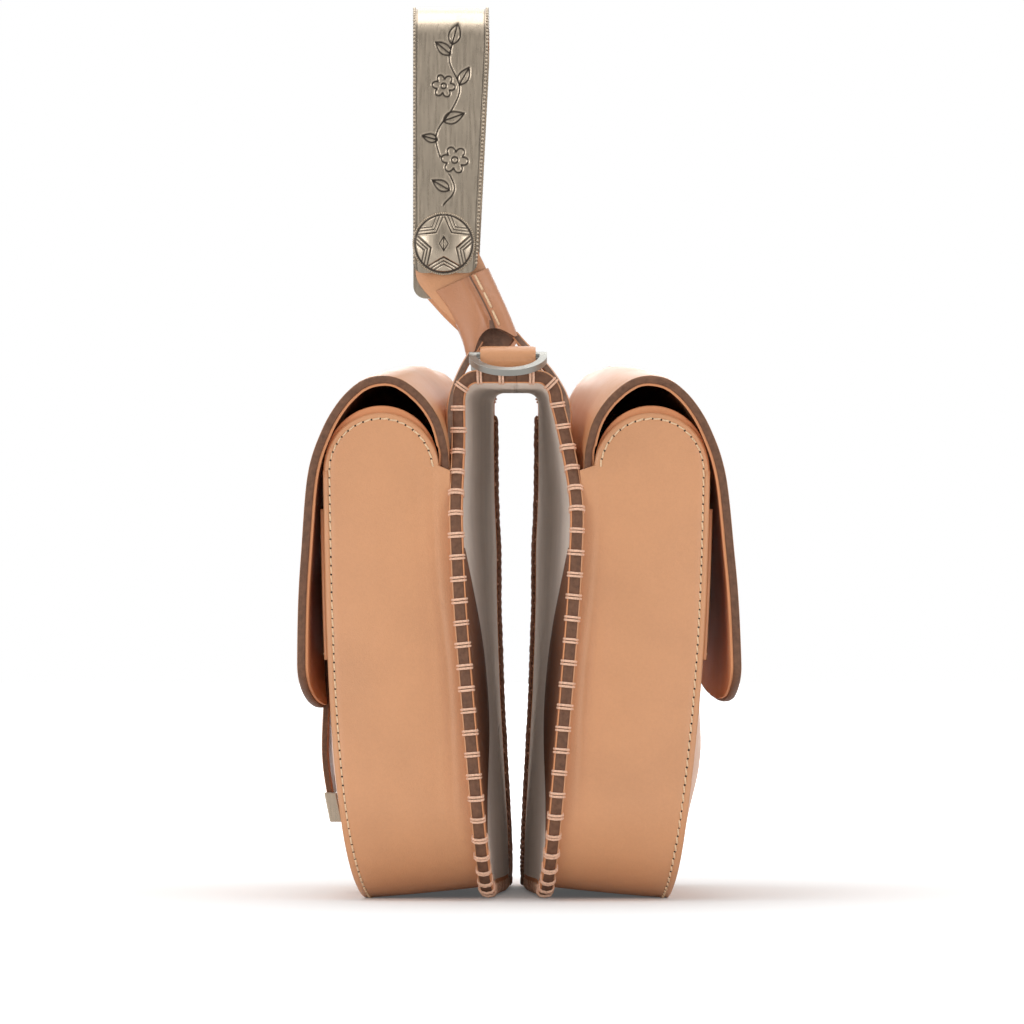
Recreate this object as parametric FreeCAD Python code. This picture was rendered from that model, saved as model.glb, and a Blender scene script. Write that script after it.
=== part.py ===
import FreeCAD
import Part
import math
import os
from FreeCAD import Vector

# Saddle handbag: two pouches back to back under one saddle yoke, with a rigid metal handle.
# Frame: +Z up, +X from the front pouch to the rear pouch, +Y from the near end to the far end,
# origin on the floor under the middle of the bag. Lengths in millimetres, angles in degrees.

# Stance of the two halves
splay_angle = 3.8
lean_angle = 3.1

# Skirt and yoke sheet
skirt_leather = 3.0
skirt_suede = 2.0
hinge_x = 17.5
hinge_z = 184.0
skirt_half_width = 100.0
skirt_corner_radius = 45.0
skirt_foot_gap = 0.5
skirt_shoulder_drop = 34.0
yoke_half_length = 88.0
yoke_top_z = 209.0
yoke_corner_radius = 12.0
running_gap = 0.3
overrun = 30.0

# Pouch
gusset_wall = 2.0
gusset_half_width = 95.0
gusset_corner_radius = 40.0
gusset_foot_depth = 47.0
gusset_arch_radius = 23.0
gusset_arch_z = 171.3
gusset_arch_x = 47.7
rim_rise = 2.6
rim_wall = 1.2
rim_depth = 26.0
rim_half_share = 0.4
panel_wall = 2.0
panel_bow = 4.0
facing_wall = 1.5
facing_bottom_z = 96.0
facing_top_z = 156.0
facing_side_margin = 4.0
lining_wall = 1.0
lining_top_z = 158.0
lining_gap = 0.2

# Zip in the mouth
tape_wall = 1.0
tape_tuck_angle = 14.0
zip_gap = 8.0
tooth_width = 2.2
tooth_height = 2.0
slider_width = 14.0
slider_length = 12.0
slider_plate = 1.2
slider_neck_width = 4.0
slider_park_y = 78.0
pull_width = 6.0
pull_length = 22.0
pull_thickness = 1.2

# Flap
flap_leather = 2.4
flap_lining = 1.8
flap_half_width = 97.0
flap_root_x = 20.4
flap_root_z = 172.0
flap_rise = 37.0
flap_reach = 61.6
flap_drop = 133.0
flap_apex_share = 0.455
flap_corner_width = 92.0
flap_corner_height = 18.0
crown_reach_shares = (0.0, 0.0, 0.045, 0.125, 0.21, 0.31)
crown_rise_shares = (0.0, 0.25, 0.50, 0.68, 0.86, 1.0)
fall_reach_shares = (0.59, 0.73, 0.85, 0.93, 0.965, 1.0, 1.0)
fall_drop_shares = (0.0, 0.055, 0.15, 0.29, 0.526, 0.82, 1.03)

# Flap snap
snap_radius = 8.0
snap_stud_height = 2.2
snap_socket_height = 1.5
snap_z = 124.0

# Closure strap under the front flap
strap_width = 24.0
strap_thickness = 3.0
strap_top_z = 98.0
strap_end_z = 31.0
strap_inset = 4.3
tip_wall = 1.0
tip_height = 12.0
tip_toe = 2.0

# Handle anchor and leather tab
leg_y = 78.0
anchor_width = 18.0
anchor_wall = 2.5
anchor_leg_drop = 12.0
anchor_slope_drop = 6.0
anchor_neck_width = 10.0
pivot_x = -4.0
pivot_rise = 17.0
tab_lean_angle = 35.0
tab_reach = 43.5
tab_width = 18.0
tab_thickness = 5.0
tab_foot_width = 10.0
tab_foot_share = 0.10
tab_shoulder_share = 0.22
keeper_wall = 1.4
keeper_gap = 0.2
keeper_start_share = 0.24
keeper_end_share = 0.62

# Metal handle
handle_top_rise = 130.0
handle_band_wall = 2.0
handle_bend_radius = 14.0
handle_front_x = -41.2
handle_top_width = 30.0
handle_foot_width = 25.4
handle_foot_rise = 24.0
back_plate_wall = 1.5
back_plate_foot_rise = 14.0
back_plate_top_rise = 52.0
screw_radius = 2.0
screw_head_radius = 4.0
screw_head_height = 1.2
screw_fit = 0.1
concho_radius = 12.5
concho_height = 4.0
concho_rim_height = 1.2

# D-rings and their leather loops
ring_inner_width = 25.0
ring_bar = 3.0
ring_depth = 17.0
ring_thickness = 2.6
ring_tilt_angle = 25.0
ring_axis_y = 91.0
ring_axis_rise = 8.0
ring_tab_width = 22.0
ring_tab_leather = 2.0
ring_tab_tail = 40.0
ring_fit = 0.3

skirt_wall = skirt_leather + skirt_suede
flap_wall = flap_leather + flap_lining
half_wall = skirt_wall / 2.0
anchor_leg_z = yoke_top_z - anchor_leg_drop
anchor_slope_z = yoke_top_z - anchor_slope_drop
pivot_z = yoke_top_z + pivot_rise
ring_axis_z = yoke_top_z + ring_axis_rise
handle_top_z = pivot_z + handle_top_rise
handle_foot_z = pivot_z + handle_foot_rise
back_plate_foot_z = pivot_z + back_plate_foot_rise
back_plate_top_z = pivot_z + back_plate_top_rise
y_axis = Vector(0, 1, 0)
z_axis = Vector(0, 0, 1)
x_axis = Vector(1, 0, 0)
origin = Vector(0, 0, 0)


def xz(x, z):
    """Point in the middle plane of the bag."""
    return Vector(x, 0, z)


def yz(y, z):
    """Point in the plane across the bag."""
    return Vector(0, y, z)


def closed_face(edges):
    """Plane face inside a ring of edges."""
    return Part.Face(Part.Wire(Part.__sortEdges__(edges)))


def polygon(points):
    """Plane face with straight sides."""
    return Part.Face(Part.makePolygon(list(points) + [points[0]]))


def run_y(face, start, end):
    """Straight body along Y between two places."""
    moved = face.translated(Vector(0, start, 0))
    return moved.extrude(Vector(0, end - start, 0))


def run_x(face, start, end):
    """Straight body along X between two places."""
    moved = face.translated(Vector(start, 0, 0))
    return moved.extrude(Vector(end - start, 0, 0))


def block(x0, x1, y0, y1, z0, z1):
    """Box between two corners."""
    return Part.makeBox(x1 - x0, y1 - y0, z1 - z0, Vector(x0, y0, z0))


def turned(shape, centre, axis, angle):
    """Copy of a shape turned about an axis."""
    copy = shape.copy()
    copy.rotate(centre, axis, angle)
    return copy


def splayed(shape):
    """Front half turned out towards the near end."""
    return turned(shape, origin, z_axis, -splay_angle)


def leaned(shape):
    """Skirt sheet, drawn about the hinge line, set at its lean and place."""
    tilted = turned(shape, origin, y_axis, -lean_angle)
    return tilted.translated(xz(-hinge_x, hinge_z))


def mirrored_x(shape):
    """Rear twin of a front shape."""
    return shape.mirror(origin, x_axis)


def mirrored_y(shape):
    """Far twin of a near shape."""
    return shape.mirror(origin, y_axis)


def skirt_line_x(z, offset):
    """Place of a plane parallel to the skirt, at a height, offset outwards from its middle."""
    slope = math.tan(math.radians(lean_angle))
    return -(hinge_x - (hinge_z - z) * slope + offset / math.cos(math.radians(lean_angle)))


def panel_line_x(z, offset):
    """Place of the front panel's bowed outer face at a height, offset inwards."""
    foot = skirt_line_x(0, half_wall) - gusset_foot_depth
    top = -(gusset_arch_x + gusset_arch_radius)
    share = z / gusset_arch_z
    return foot + (top - foot) * share - 4.0 * panel_bow * share * (1.0 - share) + offset


def panel_edge(low, high, offset):
    """Bowed edge along the front panel between two heights."""
    middle = (low + high) / 2.0
    start = panel_line_x(low, offset)
    end = panel_line_x(high, offset)
    curve = Part.BezierCurve()
    bulge_x = 2.0 * panel_line_x(middle, offset) - (start + end) / 2.0
    curve.setPoles([xz(start, low), xz(bulge_x, middle), xz(end, high)])
    return curve.toShape()


def panel_sheet(low, high, near, far):
    """Section of a sheet along the front panel between two heights and two offsets."""
    edges = [panel_edge(low, high, near), panel_edge(low, high, far)]
    for z in (low, high):
        edges.append(Part.makeLine(xz(panel_line_x(z, near), z), xz(panel_line_x(z, far), z)))
    return closed_face(edges)


def pocket_face(inset, top):
    """Outline across the pouch: straight sides, round lower corners."""
    width = gusset_half_width - inset
    radius = gusset_corner_radius - inset
    mid = radius * (1.0 - math.sqrt(0.5))
    left_arc = Part.Arc(yz(-width, inset + radius), yz(mid - width, inset + mid), yz(radius - width, inset))
    right_arc = Part.Arc(yz(width - radius, inset), yz(width - mid, inset + mid), yz(width, inset + radius))
    edges = [left_arc.toShape(), right_arc.toShape()]
    edges.append(Part.makeLine(yz(radius - width, inset), yz(width - radius, inset)))
    edges.append(Part.makeLine(yz(width, inset + radius), yz(width, top)))
    edges.append(Part.makeLine(yz(width, top), yz(-width, top)))
    edges.append(Part.makeLine(yz(-width, top), yz(-width, inset + radius)))
    return closed_face(edges)


def arch_face(radius):
    """End outline of the pouch: bowed front, round top, back against the skirt."""
    back_x = skirt_line_x(0, half_wall)
    offset = gusset_arch_radius - radius
    front = xz(-(gusset_arch_x + radius), gusset_arch_z)
    crest = xz(-gusset_arch_x, gusset_arch_z + radius)
    back = xz(radius - gusset_arch_x, gusset_arch_z)
    skirt_end = xz(skirt_line_x(gusset_arch_z, half_wall), gusset_arch_z)
    edges = [Part.Arc(front, crest, back).toShape()]
    edges.append(Part.makeLine(back, skirt_end))
    edges.append(Part.makeLine(skirt_end, xz(back_x, 0)))
    edges.append(Part.makeLine(xz(back_x, 0), xz(panel_line_x(0, offset), 0)))
    edges.append(panel_edge(0, gusset_arch_z, offset))
    return closed_face(edges)


def cavity_face(inset, top):
    """Middle outline of the room inside the pouch, drawn in from panel and skirt."""
    offset = panel_wall + inset
    low_back = xz(skirt_line_x(inset, half_wall + inset), inset)
    high_back = xz(skirt_line_x(top, half_wall + inset), top)
    edges = [panel_edge(inset, top, offset), Part.makeLine(low_back, high_back)]
    edges.append(Part.makeLine(xz(panel_line_x(inset, offset), inset), low_back))
    edges.append(Part.makeLine(xz(panel_line_x(top, offset), top), high_back))
    return closed_face(edges)


def skirt_outline():
    """Flat outline of a skirt, drawn about its hinge line."""
    length = (hinge_z - skirt_foot_gap) / math.cos(math.radians(lean_angle))
    length = length - half_wall * math.tan(math.radians(lean_angle))
    width = skirt_half_width
    radius = skirt_corner_radius
    mid = radius * (1.0 - math.sqrt(0.5))
    neck = yoke_half_length
    shoulder = -skirt_shoulder_drop
    edges = [Part.makeLine(yz(-neck, half_wall), yz(neck, half_wall))]
    edges.append(Part.makeLine(yz(radius - width, -length), yz(width - radius, -length)))
    for side in (-1.0, 1.0):
        corner = Part.Arc(
            yz(side * width, radius - length),
            yz(side * (width - mid), mid - length),
            yz(side * (width - radius), -length),
        )
        neck_curve = Part.BezierCurve()
        neck_curve.setPoles([
            yz(side * neck, 0),
            yz(side * neck, shoulder / 2.0),
            yz(side * width, shoulder / 2.0),
            yz(side * width, shoulder),
        ])
        edges.append(corner.toShape())
        edges.append(neck_curve.toShape())
        edges.append(Part.makeLine(yz(side * neck, half_wall), yz(side * neck, 0)))
        edges.append(Part.makeLine(yz(side * width, shoulder), yz(side * width, radius - length)))
    return closed_face(edges)


def make_skirt():
    """Leather skirt and its suede lining, with a round upper nose on the hinge line."""
    outline = skirt_outline()
    nose = Part.makeCylinder(half_wall, 2.0 * yoke_half_length, yz(-yoke_half_length, 0), y_axis)
    below = block(-overrun, overrun, -2.0 * skirt_half_width, 2.0 * skirt_half_width, -2.0 * hinge_z, 0)
    room = below.fuse(nose)
    leather = run_x(outline, -half_wall, skirt_leather - half_wall).common(room)
    suede = run_x(outline, skirt_leather - half_wall, half_wall).common(room)
    return splayed(leaned(leather)), splayed(leaned(suede))


def yoke_section(outer, inner):
    """Half section of the arch between two offsets from the middle of its sheet."""
    foot_z = hinge_z + half_wall + running_gap
    top_mid = yoke_top_z - half_wall
    bend = yoke_corner_radius - half_wall
    edges = []
    ends = []
    for offset in (outer, inner):
        side_x = -hinge_x - offset
        top_z = top_mid + offset
        radius = bend + offset
        mid = radius * (1.0 - math.sqrt(0.5))
        arc = Part.Arc(xz(side_x, top_z - radius), xz(side_x + mid, top_z - mid), xz(side_x + radius, top_z))
        edges.append(Part.makeLine(xz(side_x, foot_z), xz(side_x, top_z - radius)))
        edges.append(arc.toShape())
        edges.append(Part.makeLine(xz(side_x + radius, top_z), xz(overrun, top_z)))
        ends.append((xz(side_x, foot_z), xz(overrun, top_z)))
    edges.append(Part.makeLine(ends[0][0], ends[1][0]))
    edges.append(Part.makeLine(ends[0][1], ends[1][1]))
    return closed_face(edges)


def both_halves(half):
    """Whole body from its splayed front half, joined on the middle plane."""
    reach = 2.0 * skirt_half_width
    front_room = block(-reach, 0, -reach, reach, -reach, 2.0 * reach)
    front = splayed(half).common(front_room)
    return front.fuse(mirrored_x(front)).removeSplitter()


def end_trim(shape, half_length):
    """Shape cut square at both ends of the bag."""
    reach = 2.0 * skirt_half_width
    return shape.common(block(-reach, reach, -half_length, half_length, 0, 2.0 * reach))


def make_yoke():
    """Leather arch over the middle and its suede lining."""
    reach = yoke_half_length + overrun
    leather_face = yoke_section(half_wall, half_wall - skirt_leather)
    suede_face = yoke_section(half_wall - skirt_leather, -half_wall)
    leather = both_halves(run_y(leather_face, -reach, reach))
    suede = both_halves(run_y(suede_face, -reach, reach))
    return end_trim(leather, yoke_half_length), end_trim(suede, yoke_half_length)


def make_pouch():
    """Gusset, rims, front panel, facing and lining of the front pouch."""
    reach = 2.0 * gusset_arch_radius + 2.0 * gusset_foot_depth
    top = gusset_arch_z + 2.0 * gusset_arch_radius
    width = gusset_half_width
    ring = pocket_face(0, top).cut(pocket_face(gusset_wall, top + overrun))
    gusset = run_x(ring, -reach, 0).common(run_y(arch_face(gusset_arch_radius), -width, width))
    inside = run_x(pocket_face(gusset_wall, gusset_arch_z), -reach, 0)
    panel = run_y(panel_sheet(0, gusset_arch_z, 0, panel_wall), -width, width).common(inside)
    side = width - facing_side_margin
    facing = run_y(panel_sheet(facing_bottom_z, facing_top_z, -facing_wall, 0), -side, side)
    shell_inset = gusset_wall + lining_gap
    outer = run_x(pocket_face(shell_inset, lining_top_z), -reach, 0)
    outer = outer.common(run_y(cavity_face(lining_gap, lining_top_z), -width, width))
    room = run_x(pocket_face(shell_inset + lining_wall, top), -reach, 0)
    room = room.common(run_y(cavity_face(lining_gap + lining_wall, top), -width, width))
    lining = outer.cut(room)
    rim_face = arch_face(gusset_arch_radius + rim_rise)
    rim_front = -(gusset_arch_x + rim_half_share * gusset_arch_radius)
    rim_back = -(gusset_arch_x - rim_half_share * gusset_arch_radius)
    rim_base = gusset_arch_z + gusset_arch_radius + rim_rise - rim_depth
    rim_room = block(rim_front, rim_back, -width, width, max(rim_base, lining_top_z), top)
    rims = []
    for end in (-1.0, 1.0):
        face_y = end * (width - gusset_wall)
        back_y = end * (width - gusset_wall - rim_wall)
        plate = run_y(rim_face, min(face_y, back_y), max(face_y, back_y))
        rims.append(plate.common(rim_room))
    pieces = [gusset, Part.makeCompound(rims), panel, facing, lining]
    return [splayed(piece) for piece in pieces]


def make_zip():
    """Two tapes on the arch of the mouth, two rows of teeth, and the slider."""
    outer = gusset_arch_radius - panel_wall - lining_gap
    inner = outer - tape_wall
    half_length = gusset_half_width - gusset_wall - rim_wall - running_gap
    crest_z = gusset_arch_z + math.sqrt(outer * outer - (zip_gap / 2.0 + tooth_width) ** 2)
    drop = outer * math.sin(math.radians(tape_tuck_angle))
    tube = Part.makeCylinder(outer, 2.0 * half_length, Vector(0, -half_length, 0), y_axis)
    tube = tube.cut(Part.makeCylinder(inner, 2.0 * half_length, Vector(0, -half_length, 0), y_axis))
    bare = zip_gap / 2.0 + tooth_width
    tapes = []
    rows = []
    for side in (-1.0, 1.0):
        near_x, far_x = sorted((side * bare, side * (outer + overrun)))
        tapes.append(tube.common(block(near_x, far_x, -half_length, half_length, -drop, outer + overrun)))
        row_x = sorted((side * zip_gap / 2.0, side * bare))
        rows.append(block(row_x[0], row_x[1], -half_length, half_length, -tooth_height, 0))
    at_arch = xz(-gusset_arch_x, gusset_arch_z)
    at_crest = xz(-gusset_arch_x, crest_z)
    tape = Part.makeCompound(tapes).translated(at_arch)
    teeth = Part.makeCompound(rows).translated(at_crest)
    return splayed(tape), splayed(teeth), splayed(make_slider().translated(at_crest))


def make_slider():
    """Slider with two plates, a neck between the rows and a flat pull on top."""
    half_width = slider_width / 2.0
    y0 = -slider_park_y - slider_length / 2.0
    y1 = y0 + slider_length
    top0 = running_gap
    top1 = top0 + slider_plate
    low1 = -tooth_height - tape_wall - 2.0 * running_gap
    low0 = low1 - slider_plate
    upper = block(-half_width, half_width, y0, y1, top0, top1)
    lower = block(-half_width, half_width, y0, y1, low0, low1)
    neck = block(-slider_neck_width / 2.0, slider_neck_width / 2.0, y0, y1, low0, top1)
    pull = block(-pull_width / 2.0, pull_width / 2.0, y0, y0 + pull_length, top1, top1 + pull_thickness)
    return upper.fuse([lower, neck, pull]).removeSplitter()


def flap_point(reach_share, z):
    """Point of the flap's outer profile."""
    return xz(-(flap_root_x + reach_share * flap_reach), z)


def profile_curve(points):
    """Smooth profile drawn along a chain of guide points."""
    curve = Part.BSplineCurve()
    curve.buildFromPoles(points)
    return curve


def sheet_face(curve, near, far, count):
    """Section of a bent sheet between two depths below its outer profile."""
    rows = []
    for depth in (near, far):
        row = []
        for step in range(count + 1):
            place = curve.FirstParameter + (curve.LastParameter - curve.FirstParameter) * step / count
            way = curve.tangent(place)[0]
            row.append(curve.value(place) + Vector(way.z, 0, -way.x) * -depth)
        rows.append(row)
    edges = []
    for row in rows:
        spline = Part.BSplineCurve()
        spline.interpolate(row)
        edges.append(spline.toShape())
    edges.append(Part.makeLine(rows[0][0], rows[1][0]))
    edges.append(Part.makeLine(rows[0][-1], rows[1][-1]))
    return closed_face(edges)


def flap_outline():
    """Front outline of the flap: straight sides, broad round lower corners."""
    top = flap_root_z + flap_rise
    low = top - flap_drop
    width = flap_half_width
    flat = width - flap_corner_width
    edges = [Part.makeLine(yz(-flat, low), yz(flat, low))]
    edges.append(Part.makeLine(yz(-width, top + overrun), yz(width, top + overrun)))
    for side in (-1.0, 1.0):
        corner = Part.BezierCurve()
        pull_share = 0.5523
        corner.setPoles([
            yz(side * flat, low),
            yz(side * (flat + pull_share * flap_corner_width), low),
            yz(side * width, low + (1.0 - pull_share) * flap_corner_height),
            yz(side * width, low + flap_corner_height),
        ])
        edges.append(corner.toShape())
        corner_end = yz(side * width, low + flap_corner_height)
        edges.append(Part.makeLine(corner_end, yz(side * width, top + overrun)))
    return closed_face(edges)


def make_flap():
    """Crown sewn to the skirt and fall that lifts, each with its lining."""
    top = flap_root_z + flap_rise
    apex = flap_point(flap_apex_share, top)
    crown_points = []
    for reach_share, rise_share in zip(crown_reach_shares, crown_rise_shares):
        crown_points.append(flap_point(reach_share, flap_root_z + rise_share * flap_rise))
    fall_points = [apex]
    for reach_share, drop_share in zip(fall_reach_shares, fall_drop_shares):
        fall_points.append(flap_point(reach_share, top - drop_share * flap_drop))
    crown = profile_curve(crown_points + [apex])
    fall = profile_curve(fall_points)
    width = flap_half_width
    outline = run_x(flap_outline(), -2.0 * (flap_root_x + flap_reach), 0)
    pieces = []
    for curve, count in ((crown, 8), (fall, 12)):
        for near, far in ((0.0, flap_leather), (flap_leather, flap_wall)):
            sheet = run_y(sheet_face(curve, near, far, count), -width, width)
            pieces.append(sheet.common(outline))
    return pieces


def make_snap(facing, fall_lining):
    """Snap socket on the panel facing and snap stud on the flap lining."""
    face_x = panel_line_x(snap_z, -facing_wall)
    socket_foot = xz(face_x + snap_socket_height, snap_z)
    socket = Part.makeCylinder(snap_radius, 2.0 * snap_socket_height, socket_foot, -x_axis)
    stud_x = -(flap_root_x + flap_reach) + flap_wall
    reach = 3.0 * snap_stud_height
    stud = Part.makeCylinder(snap_radius, reach, xz(stud_x - reach / 3.0, snap_z), x_axis)
    socket = splayed(socket).cut(facing)
    stud = splayed(stud).cut(fall_lining)
    return largest(socket, False), largest(stud, True)


def largest(shape, towards_rear):
    """The one solid of a cut shape that lies furthest towards front or rear."""
    ordered = sorted(shape.Solids, key=lambda solid: solid.CenterOfMass.x)
    if towards_rear:
        return ordered[-1]
    return ordered[0]


def make_strap(fall_lining):
    """Closure strap hanging from the flap lining, and its metal tip."""
    front_x = -(flap_root_x + flap_reach) + strap_inset
    half_width = strap_width / 2.0
    strap = block(front_x, front_x + strap_thickness, -half_width, half_width, strap_end_z, strap_top_z)
    tip = block(
        front_x - tip_wall,
        front_x + strap_thickness + tip_wall,
        -half_width - tip_wall,
        half_width + tip_wall,
        strap_end_z - tip_toe,
        strap_end_z - tip_toe + tip_height,
    )
    tip = tip.cut(strap)
    strap = splayed(strap).cut(fall_lining)
    return strap, splayed(tip)


def yoke_fill():
    """Half of the room inside the outer face of the yoke."""
    side_x = -hinge_x - half_wall
    radius = yoke_corner_radius
    mid = radius * (1.0 - math.sqrt(0.5))
    arc = Part.Arc(
        xz(side_x, yoke_top_z - radius),
        xz(side_x + mid, yoke_top_z - mid),
        xz(side_x + radius, yoke_top_z),
    )
    edges = [arc.toShape()]
    edges.append(Part.makeLine(xz(side_x, 0), xz(side_x, yoke_top_z - radius)))
    edges.append(Part.makeLine(xz(side_x + radius, yoke_top_z), xz(2.0 * overrun, yoke_top_z)))
    edges.append(Part.makeLine(xz(2.0 * overrun, yoke_top_z), xz(2.0 * overrun, 0)))
    edges.append(Part.makeLine(xz(2.0 * overrun, 0), xz(side_x, 0)))
    return closed_face(edges)


def make_anchor(end):
    """Handle anchor at one end: strap over the yoke, bridge over the ring tab, round neck on top."""
    reach = yoke_half_length + overrun
    leg_x = hinge_x + half_wall + anchor_wall
    bridge_z = yoke_top_z + 2.0 * ring_tab_leather + ring_fit
    slab_z = bridge_z + anchor_wall
    cover = block(-leg_x, overrun, -reach, reach, anchor_leg_z, slab_z)
    strap = both_halves(cover.cut(run_y(yoke_fill(), -reach, reach)))
    middle_y = end * leg_y
    near_y = middle_y - anchor_width / 2.0
    far_y = middle_y + anchor_width / 2.0
    splay = math.radians(splay_angle)
    foot_x = leg_x / math.cos(splay) - middle_y * math.tan(splay) + anchor_wall
    passage_x = ring_tab_width / 2.0 + ring_fit
    slab_x = passage_x + anchor_wall
    roof = polygon([
        xz(-foot_x, anchor_leg_z),
        xz(-foot_x, anchor_slope_z),
        xz(-slab_x, slab_z),
        xz(slab_x, slab_z),
        xz(foot_x, anchor_slope_z),
        xz(foot_x, anchor_leg_z),
    ])
    strap = strap.common(run_y(roof, near_y, far_y))
    strap = strap.cut(block(-passage_x, passage_x, near_y - overrun, far_y + overrun, 0, bridge_z))
    half_neck = anchor_neck_width / 2.0
    neck = block(pivot_x - half_neck, pivot_x + half_neck, near_y, far_y, bridge_z, pivot_z)
    nose = Part.makeCylinder(half_neck, anchor_width, Vector(pivot_x, near_y, pivot_z), y_axis)
    return strap.fuse([neck, nose]).removeSplitter()


def tab_placed(shape):
    """Shape drawn upright about the tab's pivot, set at its lean on the near side."""
    return turned(shape, origin, y_axis, -tab_lean_angle).translated(Vector(pivot_x, -leg_y, pivot_z))


def plate_gap_half():
    """Half of the room between the two plates of a handle leg."""
    return tab_thickness / 2.0 + keeper_gap + keeper_wall + running_gap


def screw_place():
    """Middle of the screw that joins the near tab to the handle."""
    lean = math.radians(tab_lean_angle)
    return Vector(pivot_x - tab_reach * math.sin(lean), -leg_y, pivot_z + tab_reach * math.cos(lean))


def make_tab():
    """Near leather tab with its round head, and the keeper sleeve about it."""
    half_width = tab_width / 2.0
    half_foot = tab_foot_width / 2.0
    foot_z = tab_foot_share * tab_reach
    shoulder_z = tab_shoulder_share * tab_reach
    outline = polygon([
        xz(-half_foot, foot_z),
        xz(half_foot, foot_z),
        xz(half_width, shoulder_z),
        xz(half_width, tab_reach),
        xz(-half_width, tab_reach),
        xz(-half_width, shoulder_z),
    ])
    half = tab_thickness / 2.0
    head_half = plate_gap_half() - running_gap
    strip = run_y(outline, -half, half)
    head = Part.makeCylinder(half_width, 2.0 * head_half, Vector(0, -head_half, tab_reach), y_axis)
    nose_room = anchor_neck_width / 2.0 + running_gap
    nose = Part.makeCylinder(nose_room, tab_width, Vector(0, -half_width, 0), y_axis)
    hole = Part.makeCylinder(screw_radius + running_gap, tab_width, Vector(0, -half_width, tab_reach), y_axis)
    tab = strip.fuse(head).cut(nose).cut(hole)
    start_z = keeper_start_share * tab_reach
    end_z = keeper_end_share * tab_reach
    inner_x = half_width + keeper_gap
    inner_y = half + keeper_gap
    outer_x = inner_x + keeper_wall
    outer_y = inner_y + keeper_wall
    keeper = block(-outer_x, outer_x, -outer_y, outer_y, start_z, end_z)
    keeper = keeper.cut(block(-inner_x, inner_x, -inner_y, inner_y, start_z - overrun, end_z + overrun))
    return tab_placed(tab), tab_placed(keeper)


def arch_outline(half_width, top_z, radius):
    """Upright arch outline across the bag, open end at the handle's foot."""
    mid = radius * (1.0 - math.sqrt(0.5))
    edges = [Part.makeLine(yz(radius - half_width, top_z), yz(half_width - radius, top_z))]
    edges.append(Part.makeLine(yz(-half_width, handle_foot_z), yz(half_width, handle_foot_z)))
    for side in (-1.0, 1.0):
        bend = Part.Arc(
            yz(side * half_width, top_z - radius),
            yz(side * (half_width - mid), top_z - mid),
            yz(side * (half_width - radius), top_z),
        )
        edges.append(bend.toShape())
        bend_start = yz(side * half_width, top_z - radius)
        edges.append(Part.makeLine(yz(side * half_width, handle_foot_z), bend_start))
    return closed_face(edges)


def make_handle():
    """Arched metal band, near back plate, near concho and near screw."""
    inner = leg_y + plate_gap_half()
    outer = inner + handle_band_wall
    ring = arch_outline(outer, handle_top_z, handle_bend_radius).cut(
        arch_outline(inner, handle_top_z - handle_band_wall, handle_bend_radius - handle_band_wall)
    )
    band = run_x(ring, handle_front_x, handle_front_x + handle_top_width)
    taper = polygon([
        xz(handle_front_x, handle_foot_z),
        xz(handle_front_x + handle_foot_width, handle_foot_z),
        xz(handle_front_x + handle_top_width, handle_top_z),
        xz(handle_front_x, handle_top_z),
    ])
    band = band.common(run_y(taper, -outer, outer))
    centre = screw_place()
    hole_length = 2.0 * (outer + overrun)
    hole_foot = Vector(centre.x, -hole_length / 2.0, centre.z)
    hole = Part.makeCylinder(screw_radius + screw_fit, hole_length, hole_foot, y_axis)
    band = band.cut(hole)
    plate_y = -leg_y + plate_gap_half()
    plate = block(
        handle_front_x,
        handle_front_x + handle_foot_width,
        plate_y,
        plate_y + back_plate_wall,
        back_plate_foot_z,
        back_plate_top_z,
    )
    plate = plate.cut(hole)
    face = Vector(centre.x, -outer, centre.z)
    tail_y = plate_y + back_plate_wall
    shaft = Part.makeCylinder(screw_radius, tail_y + outer, face, y_axis)
    head = Part.makeCylinder(screw_head_radius, screw_head_height, Vector(centre.x, tail_y, centre.z), y_axis)
    screw = shaft.fuse(head).removeSplitter()
    return band, plate, make_concho(face), screw


def make_concho(face):
    """Domed disc with a low rim, seated on the outside of the band."""
    rim_top = Vector(concho_radius, -concho_rim_height, 0)
    crest = Vector(0, -concho_height, 0)
    dome_height = concho_height - concho_rim_height
    ball = (concho_radius ** 2 + dome_height ** 2) / (2.0 * dome_height)
    half_turn = math.asin(concho_radius / ball) / 2.0
    shoulder = Vector(ball * math.sin(half_turn), -concho_height + ball * (1.0 - math.cos(half_turn)), 0)
    edges = [Part.Arc(rim_top, shoulder, crest).toShape()]
    edges.append(Part.makeLine(crest, origin))
    edges.append(Part.makeLine(origin, Vector(concho_radius, 0, 0)))
    edges.append(Part.makeLine(Vector(concho_radius, 0, 0), rim_top))
    return closed_face(edges).revolve(origin, y_axis, 360).translated(face)


def ring_outline(half_width, depth):
    """Flat D outline from its bar to its round front."""
    straight = -depth / 4.0
    bow = Part.Arc(Vector(-half_width, straight, 0), Vector(0, -depth, 0), Vector(half_width, straight, 0))
    edges = [bow.toShape()]
    edges.append(Part.makeLine(Vector(half_width, straight, 0), Vector(half_width, 0, 0)))
    edges.append(Part.makeLine(Vector(half_width, 0, 0), Vector(-half_width, 0, 0)))
    edges.append(Part.makeLine(Vector(-half_width, 0, 0), Vector(-half_width, straight, 0)))
    return closed_face(edges)


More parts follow.
